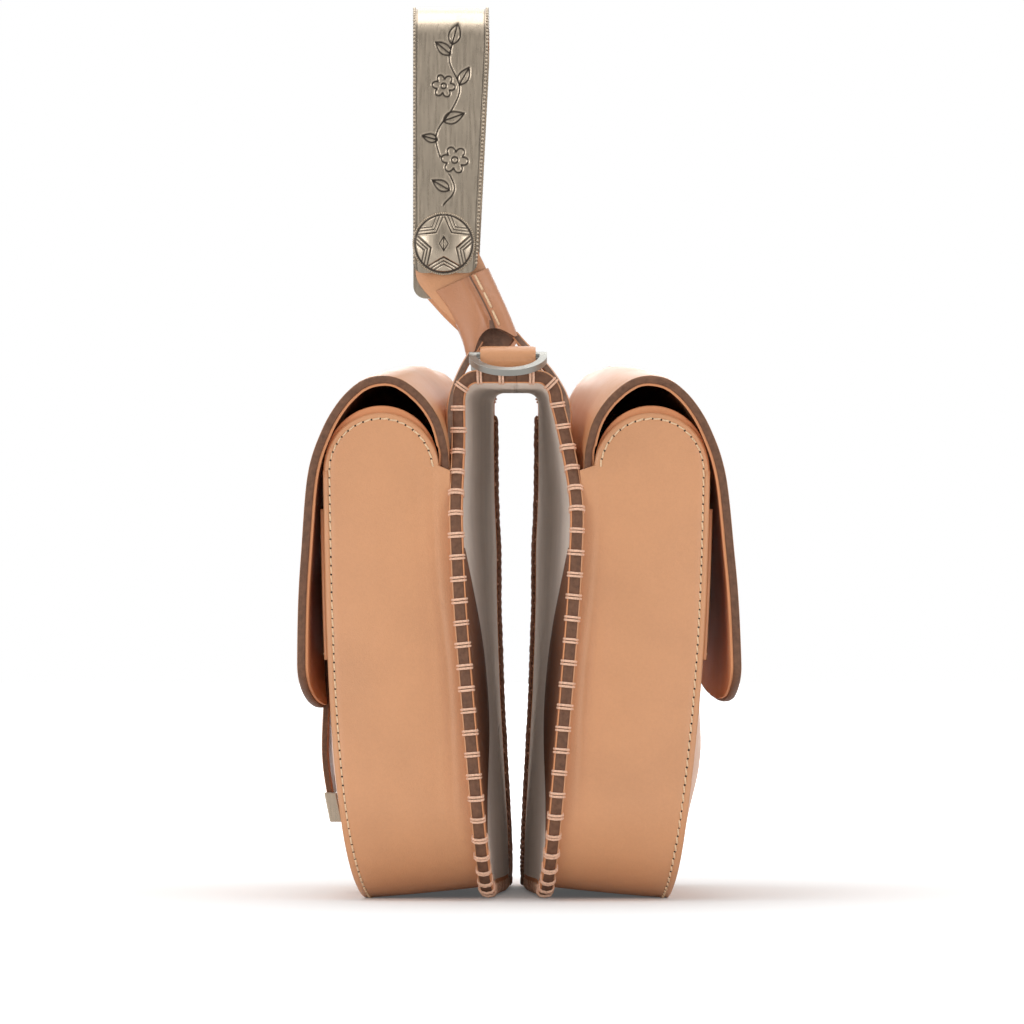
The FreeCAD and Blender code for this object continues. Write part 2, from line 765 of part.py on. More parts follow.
def make_ring():
    """Near D-ring, tilted down in its loop."""
    outer_half = ring_inner_width / 2.0 + ring_bar
    ring_eye = ring_outline(ring_inner_width / 2.0, ring_depth - ring_bar)
    face = ring_outline(outer_half, ring_depth).cut(ring_eye)
    flat = face.translated(Vector(0, 0, -ring_thickness / 2.0)).extrude(Vector(0, 0, ring_thickness))
    bar = Part.makeCylinder(ring_bar / 2.0, 2.0 * outer_half, Vector(-outer_half, 0, 0), x_axis)
    ring = flat.fuse(bar).removeSplitter()
    return turned(ring, origin, x_axis, ring_tilt_angle).translated(Vector(0, -ring_axis_y, ring_axis_z))


def make_ring_tab():
    """Leather loop about the near D-ring's bar, with its doubled tail on the yoke."""
    half_width = ring_tab_width / 2.0
    bore_radius = ring_bar / 2.0 + ring_fit
    start = Vector(-half_width, -ring_axis_y, ring_axis_z)
    loop = Part.makeCylinder(bore_radius + ring_tab_leather, ring_tab_width, start, x_axis)
    tail_top = yoke_top_z + 2.0 * ring_tab_leather
    tail = block(-half_width, half_width, -ring_axis_y, ring_tab_tail - ring_axis_y, yoke_top_z, tail_top)
    rise_y = -leg_y - anchor_width / 2.0 - ring_fit
    riser = block(-half_width, half_width, -ring_axis_y, rise_y, yoke_top_z, ring_axis_z)
    bore = Part.makeCylinder(bore_radius, ring_tab_width, start, x_axis)
    return loop.fuse([tail, riser]).cut(bore).removeSplitter()


def build():
    """All pieces of the bag by node name."""
    nodes = {}
    nodes["saddle_yoke"], nodes["yoke_lining"] = make_yoke()
    nodes["handle_anchor_near"] = make_anchor(-1.0)
    nodes["handle_anchor_far"] = make_anchor(1.0)
    band, plate, concho, screw = make_handle()
    tab, keeper = make_tab()
    nodes["handle_band"] = band
    nodes["concho_screws"] = Part.makeCompound([screw, mirrored_y(screw)])
    near_pieces = {
        "handle_tab": tab,
        "tab_keeper": keeper,
        "back_plate": plate,
        "concho": concho,
        "d_ring": make_ring(),
        "d_ring_tab": make_ring_tab(),
    }
    for name, shape in near_pieces.items():
        nodes[name + "_near"] = shape
        nodes[name + "_far"] = mirrored_y(shape)
    half = {}
    half["skirt"], half["skirt_lining"] = make_skirt()
    gusset, rims, panel, facing, lining = make_pouch()
    half["gusset"], half["gusset_rims"] = gusset, rims
    half["panel"], half["panel_facing"], half["pouch_lining"] = panel, facing, lining
    half["zip_tapes"], half["zip_teeth"], half["zip_slider"] = make_zip()
    sheets = [splayed(sheet) for sheet in make_flap()]
    half["flap_crown"], half["crown_lining"], half["flap"], half["flap_lining"] = sheets
    half["snap_socket"], half["snap_stud"] = make_snap(half["panel_facing"], half["flap_lining"])
    for name, shape in half.items():
        nodes["front_" + name] = shape
        nodes["rear_" + name] = mirrored_x(shape)
    strap, tip = make_strap(half["flap_lining"])
    nodes["front_closure_strap"] = strap
    nodes["front_strap_tip"] = tip
    return nodes


os.makedirs("parts", exist_ok=True)
for node_name, node_shape in build().items():
    node_shape.exportStep("parts/" + node_name + ".step")
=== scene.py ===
"""Saddle handbag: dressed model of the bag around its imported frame, in metres."""
import logging
import math
from dataclasses import dataclass, field
from enum import Enum
from typing import Optional, Sequence, Union

import bmesh
import bpy
import numpy as np
from mathutils import Euler, Matrix, Vector


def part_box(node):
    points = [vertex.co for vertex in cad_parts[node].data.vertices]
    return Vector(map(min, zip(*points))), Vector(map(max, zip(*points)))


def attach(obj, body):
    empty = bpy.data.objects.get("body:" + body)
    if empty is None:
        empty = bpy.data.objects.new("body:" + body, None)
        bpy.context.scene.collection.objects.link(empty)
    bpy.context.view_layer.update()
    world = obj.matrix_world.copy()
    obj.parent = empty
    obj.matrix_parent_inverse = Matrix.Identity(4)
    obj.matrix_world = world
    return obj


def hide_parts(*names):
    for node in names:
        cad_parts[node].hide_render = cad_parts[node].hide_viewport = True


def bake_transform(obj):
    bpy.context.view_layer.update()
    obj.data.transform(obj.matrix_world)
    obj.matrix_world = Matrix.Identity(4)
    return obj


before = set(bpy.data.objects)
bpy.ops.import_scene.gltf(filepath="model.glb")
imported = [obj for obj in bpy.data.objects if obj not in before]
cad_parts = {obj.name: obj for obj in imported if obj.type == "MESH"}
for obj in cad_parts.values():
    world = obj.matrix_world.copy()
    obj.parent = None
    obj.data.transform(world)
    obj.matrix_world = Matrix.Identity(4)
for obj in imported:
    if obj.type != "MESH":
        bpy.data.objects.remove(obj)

LOG = logging.getLogger("saddle_handbag")
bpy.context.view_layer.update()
MM = 0.001
SPLAY = math.radians(3.8)

Piece = bpy.types.Object
Socket = bpy.types.NodeSocket
Triple = tuple[float, float, float]
Line = Sequence[tuple[float, float]]
Shape = tuple[np.ndarray, list[tuple[int, ...]]]
Numbers = Union[float, np.ndarray]


class Half(Enum):
    """The two pouches, by the sign of their X side."""

    FRONT = -1.0
    REAR = 1.0

    @property
    def prefix(self) -> str:
        """Start of the node names on this side."""
        return self.name.lower() + "_"

    @property
    def pouch(self) -> str:
        """Body of this side's pouch."""
        return self.prefix + "pouch"

    @property
    def flap(self) -> str:
        """Body of this side's lifting flap."""
        return self.prefix + "flap"


class End(Enum):
    """The two ends of the bag along Y."""

    NEAR = -1.0
    FAR = 1.0

    @property
    def suffix(self) -> str:
        """End of the node names at this end."""
        return "_" + self.name.lower()


# Numbers and vectors


def place(points: np.ndarray, half: Half) -> np.ndarray:
    """Carries points of the front half's own upright frame into the row frame.

    Args:
        points: Points in millimetres, front side, before the splay.
        half: Side that the points are wanted on.

    Returns:
        Points in metres in the row frame.
    """
    flat = np.asarray(points, float).reshape(-1, 3)
    turned = np.empty_like(flat)
    turned[:, 0] = flat[:, 0] * math.cos(SPLAY) + flat[:, 1] * math.sin(SPLAY)
    turned[:, 1] = -flat[:, 0] * math.sin(SPLAY) + flat[:, 1] * math.cos(SPLAY)
    turned[:, 2] = flat[:, 2]
    if half is Half.REAR:
        turned[:, 0] *= -1.0
    return (turned * MM).reshape(np.shape(points))


def smooth_line(points: Sequence[Sequence[float]], count: int) -> np.ndarray:
    """Runs a smooth line through a few points, evenly spaced along its length.

    Args:
        points: Points that the line passes through.
        count: Number of points wanted.

    Returns:
        Array of count points.
    """
    guide = np.asarray(points, float)
    ends = np.vstack([2 * guide[0] - guide[1], guide, 2 * guide[-1] - guide[-2]])
    dense = []
    for index in range(len(guide) - 1):
        p0, p1, p2, p3 = ends[index:index + 4]
        t = np.linspace(0.0, 1.0, 24, endpoint=False)[:, None]
        dense.append(0.5 * (2 * p1 + (p2 - p0) * t + (2 * p0 - 5 * p1 + 4 * p2 - p3) * t ** 2
                            + (3 * p1 - p0 - 3 * p2 + p3) * t ** 3))
    return even_line(np.vstack(dense + [guide[-1:]]), count)


def lengths_along(line: np.ndarray) -> np.ndarray:
    """Length run along a line at each of its points."""
    return np.concatenate([[0.0], np.cumsum(np.linalg.norm(np.diff(line, axis=0), axis=1))])


def read_along(at: np.ndarray, marks: np.ndarray, values: np.ndarray) -> np.ndarray:
    """Rows of values read between the marks that they belong to."""
    return np.stack([np.interp(at, marks, column) for column in values.T], axis=1)


def even_line(line: np.ndarray, count: int) -> np.ndarray:
    """Spaces points evenly along a line.

    Args:
        line: Points of the line.
        count: Number of points wanted.

    Returns:
        Array of count points.
    """
    steps = lengths_along(line)
    wanted = np.linspace(0.0, steps[-1], count)
    return read_along(wanted, steps, line)


def unit(vectors: np.ndarray) -> np.ndarray:
    """Vectors brought to length one."""
    return vectors / np.maximum(np.linalg.norm(vectors, axis=-1, keepdims=True), 1e-12)


def as_rows(*values: np.ndarray) -> np.ndarray:
    """Points in rows, from the lists of their coordinates."""
    return np.stack(values, axis=1)


def hump(value: Numbers, centre: float, width: float) -> Numbers:
    """Bell curve of height one about a centre."""
    return np.exp(-((value - centre) / width) ** 2)


def clamp(value: float) -> float:
    """A number kept between zero and one."""
    return min(1.0, max(0.0, value))


def ease(share: Numbers) -> Numbers:
    """Share of a way that starts and ends softly."""
    return share * share * (3 - 2 * share)


def row_normals(grid: np.ndarray, toward: Triple, row: int) -> np.ndarray:
    """Normals of a bent sheet, one for each row, square to the row's way along the sheet.

    Args:
        grid: Points by row and column; rows run along Y.
        toward: Way that the normal of one row leans to.
        row: Number of that row.

    Returns:
        Unit normals by row and column.
    """
    way = np.gradient(grid[:, grid.shape[1] // 2], axis=0)
    normals = unit(as_rows(-way[:, 2], np.zeros(len(way)), way[:, 0]))
    normals = normals * np.sign(normals[row] @ np.array(toward))
    return np.repeat(normals[:, None, :], grid.shape[1], axis=1)


def grid_normals(grid: np.ndarray) -> np.ndarray:
    """Unit normals of a grid of points, row way crossed with column way."""
    return unit(np.cross(np.gradient(grid, axis=0), np.gradient(grid, axis=1)))


# Meshes


def new_piece(name: str, points: np.ndarray, faces: Sequence[Sequence[int]], finish: "Finish") -> Piece:
    """Makes a smooth-shaded mesh piece in the scene.

    Args:
        name: Name of the piece.
        points: Corner points in metres.
        faces: Corner numbers of each face.
        finish: Finish that the piece wears.

    Returns:
        The new object, at the origin.
    """
    mesh = bpy.data.meshes.new(name)
    mesh.from_pydata(np.asarray(points, float).reshape(-1, 3).tolist(), [], [list(f) for f in faces])
    mesh.update()
    piece = stand(name, mesh)
    mesh.materials.append(finish.material())
    face_outwards(mesh)
    mesh.shade_smooth()
    return piece


def stand(name: str, data: bpy.types.ID) -> Piece:
    """Makes an object and puts it in the scene.

    Args:
        name: Name of the object.
        data: Mesh, light or camera that it holds.

    Returns:
        The object, at the origin.
    """
    made = bpy.data.objects.new(name, data)
    bpy.context.scene.collection.objects.link(made)
    return made


def sharpen(piece: Piece, degrees: float) -> None:
    """Keeps a piece's edges sharp where its faces turn by more than an angle."""
    piece.data.set_sharp_from_angle(angle=math.radians(degrees))


def face_outwards(mesh: bpy.types.Mesh) -> None:
    """Merges doubles and turns the faces of a closed mesh outwards.

    Args:
        mesh: Mesh to mend.
    """
    work = bmesh.new()
    work.from_mesh(mesh)
    bmesh.ops.remove_doubles(work, verts=work.verts, dist=1e-7)
    bmesh.ops.recalc_face_normals(work, faces=work.faces)
    work.to_mesh(mesh)
    work.free()
    mesh.update()


def grid_faces(rows: int, columns: int, first: int = 0, ring: bool = False) -> list[tuple[int, ...]]:
    """Quads of a grid of points.

    Args:
        rows: Number of rows.
        columns: Number of points in a row.
        first: Number of the first point.
        ring: Whether each row closes on itself.

    Returns:
        Corner numbers of each quad.
    """
    faces = []
    span = columns if ring else columns - 1
    for row in range(rows - 1):
        for column in range(span):
            a = first + row * columns + column
            b = first + row * columns + (column + 1) % columns
            faces.append((a, b, b + columns, a + columns))
    return faces


def slab(name: str, outer: np.ndarray, inner: np.ndarray, finish: "Finish") -> Piece:
    """Closes two facing grids into one thin solid sheet.

    Args:
        name: Name of the piece.
        outer: Grid of points of one face, in metres.
        inner: Grid of points of the other face.
        finish: Finish that the sheet wears.

    Returns:
        The sheet.
    """
    rows, columns = outer.shape[:2]
    count = rows * columns
    faces = grid_faces(rows, columns)
    faces += [tuple(reversed(f)) for f in grid_faces(rows, columns, count)]
    rim = [c for c in range(columns)]
    rim += [r * columns + columns - 1 for r in range(1, rows)]
    rim += [(rows - 1) * columns + c for c in range(columns - 2, -1, -1)]
    rim += [r * columns for r in range(rows - 2, 0, -1)]
    for here, there in zip(rim, rim[1:] + rim[:1]):
        faces.append((there, here, here + count, there + count))
    return new_piece(name, np.vstack([outer.reshape(-1, 3), inner.reshape(-1, 3)]), faces, finish)


@dataclass
class Path:
    """A line with the way it runs, the way out of its edge and the way up from its sheet."""

    points: np.ndarray
    out: np.ndarray
    up: np.ndarray

    def along(self) -> np.ndarray:
        """Directions along the path."""
        return unit(np.gradient(self.points, axis=0))

    def spaced(self, pitch: float, margin: float = 0.0) -> "Path":
        """Path of points a fixed pitch apart.

        Args:
            pitch: Distance between points, in metres.
            margin: Length left bare at each end.

        Returns:
            The spaced path.
        """
        steps = lengths_along(self.points)
        length = steps[-1] - 2 * margin
        count = max(2, int(round(length / pitch)) + 1)
        wanted = margin + np.linspace(0.0, length, count)
        parts = []
        for values in (self.points, self.out, self.up):
            parts.append(read_along(wanted, steps, values))
        return Path(parts[0], unit(parts[1]), unit(parts[2]))


def sweep(name: str, path: Path, section: Sequence[Sequence[float]], finish: "Finish") -> Piece:
    """Draws a closed section along a path.

    Args:
        name: Name of the piece.
        path: Path that the section follows.
        section: Points of the section as millimetres out and up.
        finish: Finish that the strip wears.

    Returns:
        The strip, closed at both ends.
    """
    shape = np.asarray(section, float) * MM
    aside = path.out[:, None, :] * shape[None, :, :1]
    above = path.up[:, None, :] * shape[None, :, 1:]
    rows = path.points[:, None, :] + aside + above
    count, sides = rows.shape[:2]
    faces = grid_faces(count, sides, ring=True)
    faces.append(tuple(range(sides)))
    faces.append(tuple((count - 1) * sides + s for s in reversed(range(sides))))
    return new_piece(name, rows, faces, finish)


def tube_mesh(lines: Sequence[np.ndarray], radius: float, sides: int) -> Shape:
    """Round tubes along plane lines, for repeated threads.

    Args:
        lines: Lines of points.
        radius: Radius of the tubes.
        sides: Sides of a tube.

    Returns:
        Points and faces.
    """
    points: list[np.ndarray] = []
    faces: list[tuple[int, ...]] = []
    for line in lines:
        first = sum(len(p) for p in points)
        way = unit(np.gradient(line, axis=0))
        side = unit(np.cross(way, np.array([1.0, 0.0, 0.0])))
        over = np.cross(side, way)
        turn = np.linspace(0.0, 2 * math.pi, sides, endpoint=False)
        ring = line[:, None, :] + radius * (np.cos(turn)[None, :, None] * side[:, None, :]
                                            + np.sin(turn)[None, :, None] * over[:, None, :])
        points.append(ring.reshape(-1, 3))
        faces += grid_faces(len(line), sides, first, ring=True)
        faces.append(tuple(first + s for s in range(sides)))
        faces.append(tuple(first + (len(line) - 1) * sides + s for s in reversed(range(sides))))
    return np.vstack(points), faces


# Finishes


def add_node(tree: bpy.types.NodeTree, kind: str, inputs: Optional[dict] = None) -> bpy.types.Node:
    """Adds a node to a tree.

    Args:
        tree: Tree of nodes.
        kind: Type of the node.
        inputs: Plain values or outputs of other nodes, by the socket that takes them.

    Returns:
        The node.
    """
    node = tree.nodes.new(kind)
    for name, value in (inputs or {}).items():
        if isinstance(value, Socket):
            tree.links.new(value, node.inputs[name])
        else:
            node.inputs[name].default_value = value
    return node


def map_range(tree: bpy.types.NodeTree, value: Socket, ends: Sequence[float]) -> bpy.types.Node:
    """Adds a node that maps a range of values: start and end as read, then as given."""
    sockets = ("From Min", "From Max", "To Min", "To Max")
    return add_node(tree, "ShaderNodeMapRange", {"Value": value, **dict(zip(sockets, ends))})


@dataclass(frozen=True)
class Finish:
    """A surface finish whose node material is made once."""

    name: str
    slot: str
    colour: Triple
    roughness: float

    def material(self) -> bpy.types.Material:
        """The finish's material, made at its first use.

        Returns:
            The material.
        """
        title = "dressed_" + self.name
        found = bpy.data.materials.get(title)
        if found is None:
            found = bpy.data.materials.new(title)
            found.use_nodes = True
            self.dress(NodeBench(found.node_tree))
        return found

    def dress(self, bench: "NodeBench") -> None:
        """Sets up the shader; each kind of finish has its own."""
        raise NotImplementedError


class NodeBench:
    """Short calls for building one shader tree."""

    def __init__(self, tree: bpy.types.NodeTree) -> None:
        """Keeps the tree and its main shader.

        Args:
            tree: Node tree of a new material.
        """
        self.tree = tree
        self.shader = tree.nodes["Principled BSDF"]
        self.coords = tree.nodes.new("ShaderNodeTexCoord").outputs["Object"]

    def set(self, socket: str, value: object) -> None:
        """Sets a constant on the main shader."""
        self.shader.inputs[socket].default_value = value

    def link(self, output: Socket, socket: str) -> None:
        """Links an output to the main shader."""
        self.tree.links.new(output, self.shader.inputs[socket])

    def noise(self, scale: float, detail: float = 3.0, rough: float = 0.55,
              stretch: Triple = (1.0, 1.0, 1.0)) -> Socket:
        """Noise on object coordinates.

        Args:
            scale: Noise scale, per metre.
            detail: Octaves.
            rough: Strength of the finer octaves.
            stretch: Scale along each axis.

        Returns:
            The noise factor.
        """
        mapping = add_node(self.tree, "ShaderNodeMapping", {"Scale": stretch, "Vector": self.coords})
        sockets = {"Scale": scale, "Detail": detail, "Roughness": rough, "Vector": mapping.outputs["Vector"]}
        return add_node(self.tree, "ShaderNodeTexNoise", sockets).outputs["Fac"]

    def cells(self, scale: float) -> Socket:
        """Distance to the nearest grain cell's middle."""
        node = add_node(self.tree, "ShaderNodeTexVoronoi", {"Scale": scale, "Vector": self.coords})
        return node.outputs["Distance"]

    def attribute(self, name: str) -> Socket:
        """Value of a named attribute of the mesh.

        Args:
            name: Name of the attribute.

        Returns:
            The value.
        """
        node = self.tree.nodes.new("ShaderNodeAttribute")
        node.attribute_name = name
        return node.outputs["Fac"]

    def ramp(self, fac: Socket, stops: Sequence[tuple[float, Triple]]) -> Socket:
        """Colour ramp over a factor.

        Args:
            fac: Factor to read.
            stops: Places and colours, in rising order.

        Returns:
            The ramp's colour.
        """
        node = add_node(self.tree, "ShaderNodeValToRGB", {"Fac": fac})
        elements = node.color_ramp.elements
        while len(elements) < len(stops):
            elements.new(1.0)
        for element, (place_at, colour) in zip(elements, stops):
            element.position = place_at
            element.color = (*colour, 1.0)
        return node.outputs["Color"]

    def span(self, fac: Socket, low: float, high: float, start: float = 0.0, end: float = 1.0) -> Socket:
        """Maps a factor between start and end to low and high."""
        return map_range(self.tree, fac, (start, end, low, high)).outputs["Result"]

    def mix(self, fac: Socket, first: Socket, second: Socket) -> Socket:
        """Mixes two colours by a factor.

        Args:
            fac: Factor to read.
            first: Colour at zero.
            second: Colour at one.

        Returns:
            The mixed colour.
        """
        node = add_node(self.tree, "ShaderNodeMix", {"Factor": fac})
        node.data_type = "RGBA"
        colours = [socket for socket in node.inputs if socket.type == "RGBA"]
        self.tree.links.new(first, colours[0])
        self.tree.links.new(second, colours[1])
        return next(socket for socket in node.outputs if socket.type == "RGBA")

    def bump(self, *layers: tuple[Socket, float]) -> None:
        """Stacks height layers into the shader's normal.

        Args:
            layers: Heights and their depths in metres.
        """
        before = None
        for height, depth in layers:
            node = add_node(self.tree, "ShaderNodeBump",
                            {"Strength": 1.0, "Distance": depth, "Height": height})
            if before is not None:
                self.tree.links.new(before, node.inputs["Normal"])
            before = node.outputs["Normal"]
        self.link(before, "Normal")


def shade(colour: Triple, factor: float) -> Triple:
    """A colour made darker or lighter."""
    return tuple(min(1.0, part * factor) for part in colour)


@dataclass(frozen=True)
class Leather(Finish):
    """Smooth tanned leather: fine pores, drawn grain, clouded colour, softly polished."""

    grain: float = 1.0
    coat: float = 0.5

    def dress(self, bench: NodeBench) -> None:
        """Clouded tan over pores and grain.

        Args:
            bench: Bench of the material's shader.
        """
        cloud = bench.noise(26.0, 4.0)
        fibre = bench.noise(900.0, 3.0, 0.6)
        tan = bench.ramp(cloud, [(0.30, shade(self.colour, 0.93)), (0.52, self.colour),
                                 (0.74, shade(self.colour, 1.05))])
        pale = bench.ramp(cloud, [(0.30, shade(self.colour, 0.84)), (0.74, shade(self.colour, 0.98))])
        bench.link(bench.mix(bench.span(fibre, 0.0, 0.5, 0.35, 0.75), tan, pale), "Base Color")
        bench.link(bench.span(bench.noise(60.0, 3.0), self.roughness - 0.07, self.roughness + 0.09, 0.3, 0.7),
                   "Roughness")
        bench.set("Specular IOR Level", 0.5)
        bench.set("Coat Weight", self.coat)
        bench.set("Coat Roughness", 0.38)
        bench.bump((bench.cells(1900.0), 0.00005 * self.grain), (fibre, 0.00006 * self.grain),
                   (bench.noise(120.0, 2.0), 0.00022 * self.grain))


@dataclass(frozen=True)
class PaintedEdge(Finish):
    """Burnished and painted cut edge of the leather, with faint layers along it."""

    def dress(self, bench: NodeBench) -> None:
        """Dark paint with worn, paler streaks.

        Args:
            bench: Bench of the material's shader.
        """
        wear = bench.noise(420.0, 4.0, 0.6)
        bench.link(bench.ramp(wear, [(0.30, shade(self.colour, 0.72)), (0.50, self.colour),
                                     (0.74, shade(self.colour, 1.30))]), "Base Color")
        bench.link(bench.span(wear, self.roughness - 0.08, self.roughness + 0.12, 0.3, 0.7), "Roughness")
        bench.set("Specular IOR Level", 0.22)
        bench.bump((bench.noise(700.0, 3.0), 0.00012), (bench.noise(1600.0, 2.0), 0.00005))


@dataclass(frozen=True)
class Suede(Finish):
    """Brushed suede: short nap in soft drawn patches."""

    def dress(self, bench: NodeBench) -> None:
        """Nap of two greys under a soft sheen.

        Args:
            bench: Bench of the material's shader.
        """
        patch = bench.noise(38.0, 4.0, 0.6, (1.0, 1.0, 0.35))
        nap = bench.noise(1500.0, 3.0, 0.7)
        wide = bench.ramp(patch, [(0.28, shade(self.colour, 0.62)), (0.52, self.colour),
                                  (0.76, shade(self.colour, 1.30))])
        fine = bench.ramp(nap, [(0.30, shade(self.colour, 0.60)), (0.70, shade(self.colour, 1.25))])
        bench.link(bench.mix(bench.span(nap, 0.15, 0.5, 0.3, 0.7), wide, fine), "Base Color")
        bench.set("Roughness", self.roughness)
        bench.set("Sheen Weight", 0.9)
        bench.set("Sheen Roughness", 0.55)
        bench.set("Sheen Tint", (1.0, 0.90, 0.82, 1.0))
        bench.set("Specular IOR Level", 0.2)
        bench.bump((nap, 0.0003), (patch, 0.0006))


@dataclass(frozen=True)
class Thread(Finish):
    """Waxed sewing or lacing thread, twisted."""

    def dress(self, bench: NodeBench) -> None:
        """Pale thread with darker twist.

        Args:
            bench: Bench of the material's shader.
        """
        twist = bench.noise(1700.0, 2.0)
        bench.link(bench.ramp(twist, [(0.32, shade(self.colour, 0.72)), (0.60, self.colour)]), "Base Color")
        bench.link(bench.span(twist, self.roughness - 0.1, self.roughness + 0.1, 0.3, 0.7), "Roughness")
        bench.bump((twist, 0.00012))


@dataclass(frozen=True)
class Textile(Finish):
    """Close-woven lining cloth."""

    def dress(self, bench: NodeBench) -> None:
        """Weave of fine cells over a dark ground.

        Args:
            bench: Bench of the material's shader.
        """
        weave = bench.cells(1500.0)
        bench.link(bench.ramp(weave, [(0.1, shade(self.colour, 1.7)), (0.6, shade(self.colour, 0.6))]),
                   "Base Color")
        bench.link(bench.span(weave, self.roughness - 0.08, self.roughness + 0.08), "Roughness")
        bench.bump((weave, 0.0002))


@dataclass(frozen=True)
class Metal(Finish):
    """Plated metal, brushed along one way, with dark patina where the mesh says so."""

    patina: Triple = (0.03, 0.024, 0.02)
    brushed: Triple = (1.0, 1.0, 1.0)
    wear: float = 0.5

    def dress(self, bench: NodeBench) -> None:
        """Brushed plate, tarnish in the hollows and fine scratches.

        Args:
            bench: Bench of the material's shader.
        """
        drawn = bench.noise(900.0, 3.0, 0.6, self.brushed)
        spots = bench.noise(240.0, 5.0, 0.65)
        plate = bench.ramp(drawn, [(0.25, shade(self.colour, 1.0 - 0.22 * self.wear)), (0.55, self.colour),
                                   (0.80, shade(self.colour, 1.0 + 0.18 * self.wear))])
        tarnish = bench.ramp(spots, [(0.30, shade(self.colour, 1.0 - 0.55 * self.wear)), (0.62, self.colour)])
        worn = bench.mix(bench.span(spots, 0.75 * self.wear, 0.0, 0.32, 0.55), plate, tarnish)
        dark = bench.ramp(drawn, [(0.2, self.patina), (0.8, shade(self.patina, 2.2))])
        bench.link(bench.mix(bench.attribute("patina"), worn, dark), "Base Color")
        bench.set("Metallic", 1.0)
        bench.link(bench.span(drawn, self.roughness - 0.07, self.roughness + 0.12, 0.25, 0.75), "Roughness")
        bench.bump((drawn, 0.00003), (spots, 0.00006 * self.wear))


TAN = Leather("tan_leather", "tan_leather", (0.640, 0.300, 0.137), 0.46)
TAN_DEEP = Leather("tan_sleeve_leather", "tan_leather", (0.500, 0.215, 0.100), 0.40)
TAN_INNER = Leather("tan_lining_leather", "edge_leather", (0.700, 0.300, 0.135), 0.75, 1.3, 0.04)
EDGE = PaintedEdge("painted_edge", "edge_leather", (0.160, 0.078, 0.046), 0.55)
# Brown of a thin sheet that paints the warm shade inside each skirt near its near laced edge.
WARM_SHADE = PaintedEdge("inside_facing", "edge_leather", (0.210, 0.085, 0.042), 0.6)
RAW_EDGE = PaintedEdge("raw_edge", "edge_leather", (0.200, 0.125, 0.090), 0.7)
SUEDE = Suede("grey_suede", "grey_suede", (0.760, 0.640, 0.540), 0.95)
# Dark copy of the pale lacing thread: painted shade on the lacing inside the skirts.
LACE_IN_SHADE = Thread("lacing_thread_inside", "edge_leather", (0.360, 0.185, 0.120), 0.7)
LACE = Thread("lacing_thread", "tan_leather", (0.900, 0.560, 0.390), 0.62)
STITCH = Thread("sewing_thread", "tan_leather", (0.860, 0.600, 0.370), 0.6)
# Near-black that paints the shade inside the needle holes.
HOLE_SHADE = Textile("needle_hole", "black_lining", (0.020, 0.012, 0.008), 0.9)
BLACK = Textile("black_lining", "black_lining", (0.010, 0.010, 0.011), 0.85)
SILVER = Metal("aged_silver", "aged_silver", (0.510, 0.425, 0.328), 0.28, brushed=(1.0, 1.0, 0.08), wear=0.5)
NICKEL = Metal("satin_nickel", "satin_nickel", (0.340, 0.335, 0.310), 0.38, brushed=(0.2, 1.0, 1.0),
               wear=0.15)
ZIP_METAL = Metal("zip_nickel", "zip_metal", (0.300, 0.290, 0.280), 0.3, wear=0.3)


# Repeated shapes


